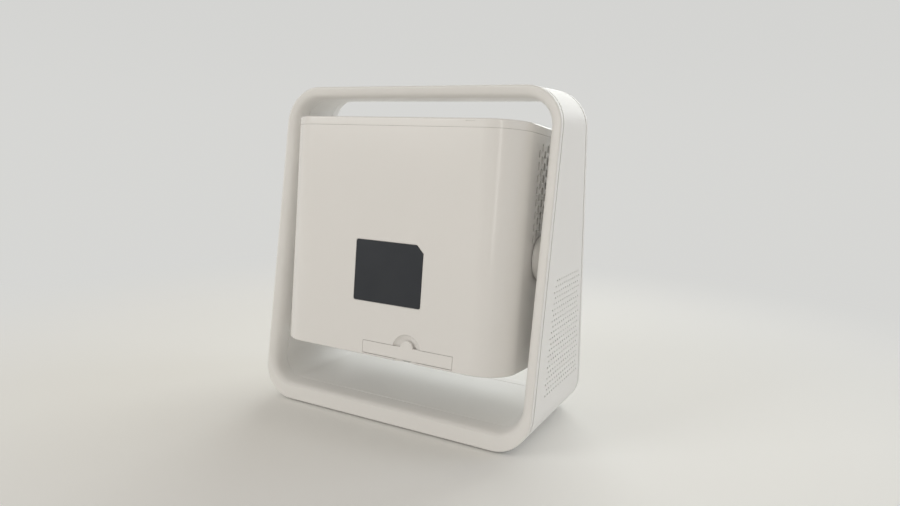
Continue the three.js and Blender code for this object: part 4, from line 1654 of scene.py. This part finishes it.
    def build(self, shop: Workshop) -> None:
        """Build the housing's pieces.

        Args:
            shop: where the pieces are placed.
        """
        tube = self.hollow_tube()
        white, dark = (SHELL_WHITE, Slot.SHELL), (GLOSS_BLACK, Slot.DARK)
        film = (PLATE_FILM, Slot.PLATE)
        parts = (
            ("rear_wall", self.rear_shell(tube), white, Body.COLUMN, "rear_shell"),
            ("front_wall", self.front_shell(tube), white, Body.COLUMN, "front_shell"),
            ("cap", self.top_cover(), white, Body.COLUMN, "top_cover"),
            ("plate", self.rating_plate(), film, Body.COLUMN, "rating_plate"),
            ("hatch_panel", self.filter_hatch(), white, Body.HATCH, "filter_hatch"),
            ("sensor_pane", self.sensor_pane(), dark, Body.COLUMN, "sensor_window"),
        )
        for name, solid, (finish, slot), body, node in parts:
            shop.piece(name, solid.placed(self.place), finish, body, node)
        shop.dress(["dust_filter"], FOAM)


@dataclass(frozen=True)
class Underside(Assembly):
    """The bottom cover with its posts, sockets and screws, drawn about the column's middle."""

    column: Column
    socket_y: float = 20.0
    hdmi: Point = (-58.0, 15.0, 5.6)  # place, width and height, as for the next two
    usb: Point = (-36.0, 13.4, 6.4)
    inlet: Point = (46.0, 19.0, 11.0)
    window_flare: float = 0.5
    audio_x: float = -16.0
    audio_radius: float = 4.0
    audio_bore: float = 1.8
    audio_depth: float = 7.0
    socket_recess: float = 0.5
    head_radius: float = 2.8
    head_depth: float = 1.2
    shank_radius: float = 1.4
    screw_length: float = 8.0
    screw_inset: float = 9.0
    cross: Point = (1.6, 0.35, 0.8)  # half length, half width and depth
    board_lift: float = 10.2
    board_half_depth: float = 36.0
    board_spans: tuple[Flat, Flat] = ((-74.0, 6.0), (12.0, 74.0))
    post_radius: float = 3.0
    post_inset: float = 6.0
    head_steps: int = 5
    screw_sides: int = 32
    well_sides: int = 40
    jack_sides: int = 48

    @property
    def foot(self) -> float:
        """Height of the cover's lower face."""
        return -self.column.half_height

    @property
    def tray_top(self) -> float:
        """Height of the cover's upper face."""
        return self.foot + self.column.tray

    def screw_spots(self) -> dict[str, Flat]:
        """Return the places of the screws.

        Returns:
            The (x, y) places by name.
        """
        x = self.column.half_width - self.column.wall - self.screw_inset
        y = self.column.half_depth - self.column.wall - self.screw_inset
        return four_corners(x, y)

    def screw(self) -> Solid:
        """Return a pan-headed screw with a cross recess.

        Returns:
            The screw, below the column's middle.
        """
        head = self.foot
        edge = self.head_depth / 2
        profile = [
            (0.0, head),
            *quarter((self.head_radius - edge, head + edge), edge, -QUARTER, self.head_steps),
            (self.head_radius, head + self.head_depth),
            (self.shank_radius, head + self.head_depth),
            (self.shank_radius, head + self.screw_length),
            (0.0, head + self.screw_length),
        ]
        long, wide, depth = self.cross
        bars = [
            box((-long, -wide, head - OVERRUN), (long, wide, head + depth)),
            box((-wide, -long, head - OVERRUN), (wide, long, head + depth)),
        ]
        return turned(profile, self.screw_sides).cut(*bars)

    def posts(self) -> list[Solid]:
        """Return the posts that carry the two boards.

        Returns:
            The posts, each a solid.
        """
        low, high = self.tray_top - self.column.tray / 2, self.tray_top + self.board_lift - GAP
        post = round_bar(self.post_radius, low, high)
        y = self.board_half_depth - self.post_inset
        return [
            post.moved(x, end.value * y)
            for left, right in self.board_spans
            for x in (left + self.post_inset, right - self.post_inset)
            for end in End
        ]

    def window(self, x: float, width: float, height: float) -> Solid:
        """Return the cutter of a socket's window, flared at the outer face.

        Args:
            x: the socket's place.
            width: its width.
            height: its height.

        Returns:
            The cutter, at the socket's place.
        """
        flare = self.window_flare
        layers = [
            (self.foot - OVERRUN, flare + OVERRUN),
            (self.foot, flare),
            (self.foot + flare, 0.0),
            (self.tray_top + OVERRUN, 0.0),
        ]
        curves = []
        for z, grow in layers:
            wide, high = width + 2 * (GAP + grow), height + 2 * (GAP + grow)
            curves.append(along_z(rounded_rect(wide, high, 2 * GAP + grow), z))
        return loft(curves).moved(x, self.socket_y)

    def well(self, radius: float) -> Solid:
        """Return the cutter of a round hole, flared at the outer face.

        Args:
            radius: radius of what sits in the hole.

        Returns:
            The cutter, below the column's middle.
        """
        flare = self.window_flare
        return turned([
            (0.0, self.foot - OVERRUN),
            (radius + GAP + flare + OVERRUN, self.foot - OVERRUN),
            (radius + GAP, self.foot + flare),
            (radius + GAP, self.tray_top + OVERRUN),
            (0.0, self.tray_top + OVERRUN),
        ], self.well_sides)

    def screw_well(self) -> Solid:
        """Return the cutter of a screw's stepped hole.

        Returns:
            The cutter, below the column's middle.
        """
        seat = self.foot + self.head_depth + GAP
        return turned([
            (0.0, self.foot - OVERRUN),
            (self.head_radius + GAP, self.foot - OVERRUN),
            (self.head_radius + GAP, seat),
            (self.shank_radius + GAP, seat),
            (self.shank_radius + GAP, self.tray_top + OVERRUN),
            (0.0, self.tray_top + OVERRUN),
        ], self.well_sides)

    def cover(self) -> Solid:
        """Return the cover with its posts and the holes of the sockets and screws.

        Returns:
            The cover, in the column's own frame.
        """
        inset = self.column.wall + GAP
        plate = loft([
            self.column.curve(inset + GAP, self.foot),
            self.column.curve(inset, self.foot + GAP),
            self.column.curve(inset, self.tray_top),
        ])
        well = self.screw_well()
        holes = [
            *(well.moved(x, y) for x, y in self.screw_spots().values()),
            *(self.window(*spec) for spec in (self.hdmi, self.usb, self.inlet)),
            self.well(self.audio_radius).moved(self.audio_x, self.socket_y),
        ]
        return plate.joined(Solid.gather(self.posts())).cut(Solid.gather(holes))

    def audio_jack(self) -> Solid:
        """Return the audio jack with a rounded mouth.

        Returns:
            The jack, in the column's own frame.
        """
        mouth = self.foot + self.socket_recess
        top = self.tray_top + self.board_lift - GAP
        outer, bore, edge = self.audio_radius, self.audio_bore, GAP
        return turned([
            (0.0, mouth + self.audio_depth),
            (bore, mouth + self.audio_depth),
            (bore, mouth + edge),
            (bore + edge, mouth),
            (outer - edge, mouth),
            (outer, mouth + edge),
            (outer, top),
            (0.0, top),
        ], self.jack_sides).moved(self.audio_x, self.socket_y)

    def build(self, shop: Workshop) -> None:
        """Build the cover, its screws and the audio jack, and dress the other sockets.

        Args:
            shop: where the pieces are placed.
        """
        parts = [
            (f"fastener_{spot}", self.screw().moved(x, y), STEEL, Slot.STEEL, f"screw_{spot}")
            for spot, (x, y) in self.screw_spots().items()
        ]
        parts += [
            ("underside_tray", self.cover(), UNDERSIDE_GREY, Slot.UNDERSIDE, "bottom_cover"),
            ("audio_port", self.audio_jack(), BLACK_PLASTIC, Slot.DARK, "audio_jack"),
        ]
        for name, solid, finish, slot, node in parts:
            shop.piece(name, solid.placed(self.column.place), finish, Body.COLUMN, node)
        shop.dress(["hdmi_socket", "usb_socket"], STEEL)
        shop.dress(["mains_inlet"], BLACK_PLASTIC)
        shop.dress(["main_board", "power_board"], CIRCUIT_BOARD)


@dataclass(frozen=True)
class Optics(Assembly):
    """Lens trim, barrel and glass in the front wall, and the engine behind them."""

    column: Column
    trim_depth: float = 6.0
    trim_flare: float = 1.5
    trim_wall: float = 2.0
    trim_sunk: float = 0.4
    trim_lip: float = 1.0
    lip_steps: int = 8
    barrel_radius: float = 26.0
    barrel_wall: float = 2.4
    barrel_length: float = 27.0
    barrel_inset: float = 6.5
    barrel_edge: float = 0.5
    edge_steps: int = 4
    mouth_edge: float = 0.4
    grooves: int = 3
    groove_pitch: float = 0.7
    groove_width: float = 0.6
    groove_depth: float = 0.35
    glass_thickness: float = 7.0
    glass_inset: float = 2.5
    rear_thickness: float = 6.0
    curve: float = 2.2
    curve_steps: int = 10
    sides: int = 128

    @property
    def face(self) -> float:
        """Distance of the barrel's face from the column's middle."""
        return self.column.half_depth - self.barrel_inset

    @property
    def bore(self) -> float:
        """Radius of the barrel's bore at its mouth."""
        return self.barrel_radius - self.barrel_wall

    def forward(self, solid: Solid) -> Solid:
        """Turn what stands along Z to look out of the front wall, and place it."""
        lens = solid.placed(TO_FRONT).moved(z=self.column.lens_z)
        return lens.placed(self.column.place)

    def trim(self) -> Solid:
        """Return the flared ring, with a rounded lip.

        Returns:
            The ring, about Z, its lip upwards.
        """
        mouth = self.column.half_depth - self.trim_sunk
        outer, lip = self.column.lens_opening, self.trim_lip
        inner = outer - self.trim_wall - self.trim_flare
        return turned([
            (inner, mouth - self.trim_depth),
            (outer, mouth - self.trim_depth),
            (outer, mouth - lip),
            *(
                (outer - lip + lip * math.cos(turn), mouth - lip + lip * math.sin(turn))
                for turn in turns(self.lip_steps, math.pi)[1:-1]
            ),
            (outer - self.trim_wall, mouth - lip),
        ], self.sides)

    def barrel(self) -> Solid:
        """Return the barrel with fine baffle grooves in its mouth.

        Returns:
            The barrel, about Z, its mouth upwards.
        """
        rear = self.face - self.barrel_length
        seat = self.face - self.glass_inset - self.glass_thickness - GAP
        edge = self.barrel_edge
        centre = (self.barrel_radius - edge, self.face - edge)
        grooves: list[Flat] = []
        depth = self.face - self.mouth_edge
        for _ in range(self.grooves):
            grooves += [
                (self.bore, depth),
                (self.bore + self.groove_depth, depth - self.groove_width / 2),
                (self.bore, depth - self.groove_width),
            ]
            depth -= self.groove_pitch
        return turned([
            (self.bore - self.barrel_wall, rear),
            (self.barrel_radius, rear),
            *quarter(centre, edge, 0.0, self.edge_steps),
            (self.bore + self.mouth_edge, self.face),
            *grooves,
            (self.bore, seat),
            (self.bore - self.barrel_wall, seat),
        ], self.sides)

    def glass(self, radius: float, start: float, thickness: float) -> Solid:
        """Return a lens with two bulged faces.

        Args:
            radius: the lens's radius.
            start: height of its rear tip.
            thickness: from tip to tip.

        Returns:
            The lens, about Z.
        """
        shares = [step / self.curve_steps for step in range(self.curve_steps + 1)]
        back = [(radius * s, start + self.curve * s * s) for s in shares]
        front = [(radius * s, start + thickness - self.curve * s * s) for s in reversed(shares)]
        return turned([*back, *front], self.sides)

    def build(self, shop: Workshop) -> None:
        """Build the ring, the barrel and its lenses, and dress the engine.

        Args:
            shop: where the pieces are placed.
        """
        front_start = self.face - self.glass_inset - self.glass_thickness
        front = self.glass(self.bore - GAP, front_start, self.glass_thickness)
        rear_start = self.face - self.barrel_length
        rear = self.glass(self.bore - self.barrel_wall - GAP, rear_start, self.rear_thickness)
        dark, clear = (BLACK_PLASTIC, Slot.DARK), (LENS_GLASS, Slot.GLASS)
        parts = (
            ("lens_ring", self.trim(), dark, Body.COLUMN, "lens_trim"),
            ("focus_tube", self.barrel(), dark, Body.LENS_GROUP, "lens_barrel"),
            ("front_glass", front, clear, Body.LENS_GROUP, "front_lens"),
            ("rear_glass", rear, clear, Body.LENS_GROUP, "rear_lens"),
        )
        for name, solid, (finish, slot), body, node in parts:
            shop.piece(name, self.forward(solid), finish, body, node)
        shop.dress(["lens_housing", "engine_housing", "engine_cover", "lcd_panel"], BLACK_PLASTIC)
        shop.dress(["condenser_lens", "fresnel_lens"], LENS_GLASS)
        shop.dress(["heat_sink", "led_module"], ALUMINIUM)
        shop.dress(["fold_mirror"], MIRROR)
        shop.dress(["focus_motor"], STEEL)
        fans = [f"fan_{part}_{side.name.lower()}" for part in ("frame", "rotor") for side in Side]
        shop.dress(fans, BLACK_PLASTIC)


@dataclass(frozen=True)
class PowerButton(Assembly):
    """The round button in the top cover, dished, with an engraved power sign."""

    column: Column
    thickness: float = 4.0
    sunk: float = 0.3
    edge: float = 0.5
    edge_steps: int = 5
    rim: float = 1.2
    dish: float = 0.45
    sign_depth: float = 0.25
    sign_radii: Flat = (2.6, 2.1)
    sign_start: float = math.radians(130)
    sign_sweep: float = math.radians(280)
    sign_steps: int = 24
    stroke: Point = (0.28, 1.0, 3.2)  # half width, foot and head
    dish_shares: tuple[float, ...] = (1.0, 0.85, 0.7, 0.5, 0.3, 0.1)
    sides: int = 72

    def solid(self) -> Solid:
        """Return the button with its engraving.

        Returns:
            The button, in the column's own frame.
        """
        radius = self.column.button_radius
        top = self.column.half_height - self.sunk
        inner = radius - self.rim
        centre = (radius - self.edge, top - self.edge)
        dish = [(inner * s, top - self.dish * (1 - s * s)) for s in self.dish_shares]
        profile = [
            (0.0, top - self.thickness),
            (radius, top - self.thickness),
            *quarter(centre, self.edge, 0.0, self.edge_steps),
            *dish,
            (0.0, top - self.dish),
        ]
        sweep = turns(self.sign_steps, self.sign_sweep, self.sign_start)
        wide, narrow = self.sign_radii
        outline = [(wide * math.cos(t), wide * math.sin(t)) for t in sweep]
        outline += [(narrow * math.cos(t), narrow * math.sin(t)) for t in reversed(sweep)]
        low, high = top - self.dish - self.sign_depth, top + OVERRUN
        half, foot, head = self.stroke
        stroke = box((-half, foot, low), (half, head, high))
        return turned(profile, self.sides).cut(prism(outline, along_z, low, high), stroke)

    def build(self, shop: Workshop) -> None:
        """Build the button.

        Args:
            shop: where the pieces are placed.
        """
        solid = self.solid().placed(self.column.place)
        shop.piece(
            "button_cap", solid, UNDERSIDE_GREY, Body.BUTTON, "power_button"
        )


# Camera, floor and light


@dataclass(frozen=True)
class PaleFloor(Finish):
    """Pale matt floor that passes into the even backdrop far from the object. Lengths in metres."""

    colour: Colour = (0.9, 0.9, 0.88)
    far_colour: Colour = (0.675, 0.675, 0.658)
    near: float = 0.2
    far: float = 0.65
    roughness: float = 0.62
    unevenness: float = 0.06
    grain_scale: float = 300.0
    grain_depth: float = 0.00001
    ior: float = 1.25

    def draw(self, sheet: Sheet) -> None:
        """Draw a floor that keeps the object's shadow, and its far part as it is shown.

        Args:
            sheet: an empty sheet.
        """
        grain = sheet.noise(self.grain_scale, 3.0)
        floor = sheet.node("ShaderNodeBsdfPrincipled", {}, {
            "Base Color": self.colour,
            "Roughness": self.roughness + grain * self.unevenness,
            "IOR": self.ior,
            "Normal": sheet.bump(grain, self.grain_depth),
        })
        shown = sheet.node("ShaderNodeEmission", {}, {"Color": self.far_colour})
        distance = sheet.node(
            "ShaderNodeVectorMath", {"operation": "LENGTH"}, {0: sheet.coords()}, output="Value"
        )
        share = sheet.between(distance, self.near, self.far) * sheet.seen()
        sheet.end(sheet.node("ShaderNodeMixShader", {}, {0: share, 1: floor, 2: shown}))


@dataclass(frozen=True)
class Surroundings:
    """Even light from all round, behind a pale backdrop that only shows."""

    light: Colour = (1.0, 0.932, 0.84)
    strength: float = 0.455
    horizon: Colour = (0.675, 0.675, 0.658)
    overhead: Colour = (0.66, 0.66, 0.645)
    rise: float = 0.18

    def draw(self, sheet: Sheet) -> None:
        """Draw the light and the backdrop.

        Args:
            sheet: the world's empty sheet.
        """
        height = sheet.node(
            "ShaderNodeSeparateXYZ", {}, {0: sheet.node("ShaderNodeTexCoord")}, output="Z"
        )
        tone = sheet.blend(sheet.between(height, 0.0, self.rise), self.horizon, self.overhead)
        light = sheet.node(
            "ShaderNodeBackground", {}, {"Color": self.light, "Strength": self.strength}
        )
        shown = sheet.node("ShaderNodeBackground", {}, {"Color": tone})
        sheet.end(sheet.node("ShaderNodeMixShader", {}, {0: sheet.seen(), 1: light, 2: shown}))


@dataclass(frozen=True)
class Lamp:
    """A flat lamp that looks at the object. Lengths in metres, power in watts."""

    name: str
    at: Point
    width: float
    height: float
    power: float
    colour: Colour = (1.0, 1.0, 1.0)

    def hang(self, aim: Point) -> None:
        """Hang the lamp so that it looks at a point.

        Args:
            aim: the point.
        """
        data = bpy.data.lights.new(self.name, "AREA")
        data.shape = "RECTANGLE"
        data.size = self.width
        data.size_y = self.height
        data.energy = self.power
        data.color = self.colour
        made = bpy.data.objects.new(self.name, data)
        made.location = self.at
        made.rotation_euler = (Vector(aim) - Vector(self.at)).to_track_quat("-Z", "Y").to_euler()
        bpy.context.scene.collection.objects.link(made)


@dataclass(frozen=True)
class Studio:
    """Camera at the photograph's place, pale floor and soft lamps. Lengths in metres."""

    camera_at: Point = (-0.24836, 0.4222, 0.19776)
    camera_tilt: float = 80.291  # degrees, 90 looks level
    camera_roll: float = -1.524
    camera_heading: float = 208.410
    lens: float = 27.193
    sensor: float = 36.0
    clip: float = 0.01
    aim: Point = (0.0, 0.0, 0.11)
    floor_radius: float = 30.0
    floor_sides: int = 96
    floor_finish: Finish = PaleFloor("pale floor")
    surroundings: Surroundings = Surroundings()
    lamps: tuple[Lamp, ...] = (
        Lamp("rear left", (1.5, 1.85, 1.2), 1.2, 1.2, 13.6, (1.0, 1.0, 0.99)),
        Lamp("rear strip", (-0.72, 1.15, 0.5), 0.035, 0.8, 1.2, (1.0, 0.98, 0.94)),
        Lamp("front right", (-1.9, -1.2, 1.0), 1.2, 1.2, 9.0, (0.72, 0.82, 1.0)),
        Lamp("front high", (0.15, -2.4, 1.4), 3.0, 1.6, 37.0, (0.96, 1.0, 0.97)),
    )

    def camera(self) -> None:
        """Place the camera as it stood for the photograph."""
        data = bpy.data.cameras.new("camera")
        data.sensor_fit = "HORIZONTAL"
        data.sensor_width = self.sensor
        data.lens = self.lens
        data.clip_start = self.clip
        made = bpy.data.objects.new("camera", data)
        made.location = self.camera_at
        angles = (self.camera_tilt, self.camera_roll, self.camera_heading)
        made.rotation_euler = tuple(math.radians(angle) for angle in angles)
        bpy.context.scene.collection.objects.link(made)
        bpy.context.scene.camera = made

    def floor(self) -> None:
        """Lay the floor."""
        outline = circle(self.floor_radius, self.floor_sides)
        mesh = bpy.data.meshes.new("floor")
        mesh.from_pydata(along_z(outline, 0.0), [], [tuple(range(len(outline)))])
        mesh.materials.append(self.floor_finish.material())
        made = bpy.data.objects.new("floor", mesh)
        bpy.context.scene.collection.objects.link(made)

    def build(self) -> None:
        """Set up camera, floor and light."""
        self.camera()
        self.floor()
        world = bpy.data.worlds.new("surroundings")
        self.surroundings.draw(Sheet(world))
        bpy.context.scene.world = world
        for lamp in self.lamps:
            lamp.hang(self.aim)
        bpy.context.scene.view_settings.view_transform = "Standard"


def main() -> None:
    """Load the frame and build every class in order."""
    logging.basicConfig(level=logging.INFO, format="%(name)s: %(message)s")
    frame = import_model()
    Studio().build()
    shop = Workshop(frame)
    loop = LoopStand()
    column = Column(loop)
    for assembly in (
        loop, Pivots(loop), column, Underside(column), Optics(column), PowerButton(column)
    ):
        LOG.info("building %s", type(assembly).__name__)
        assembly.build(shop)


if __name__ == "__main__":
    main()
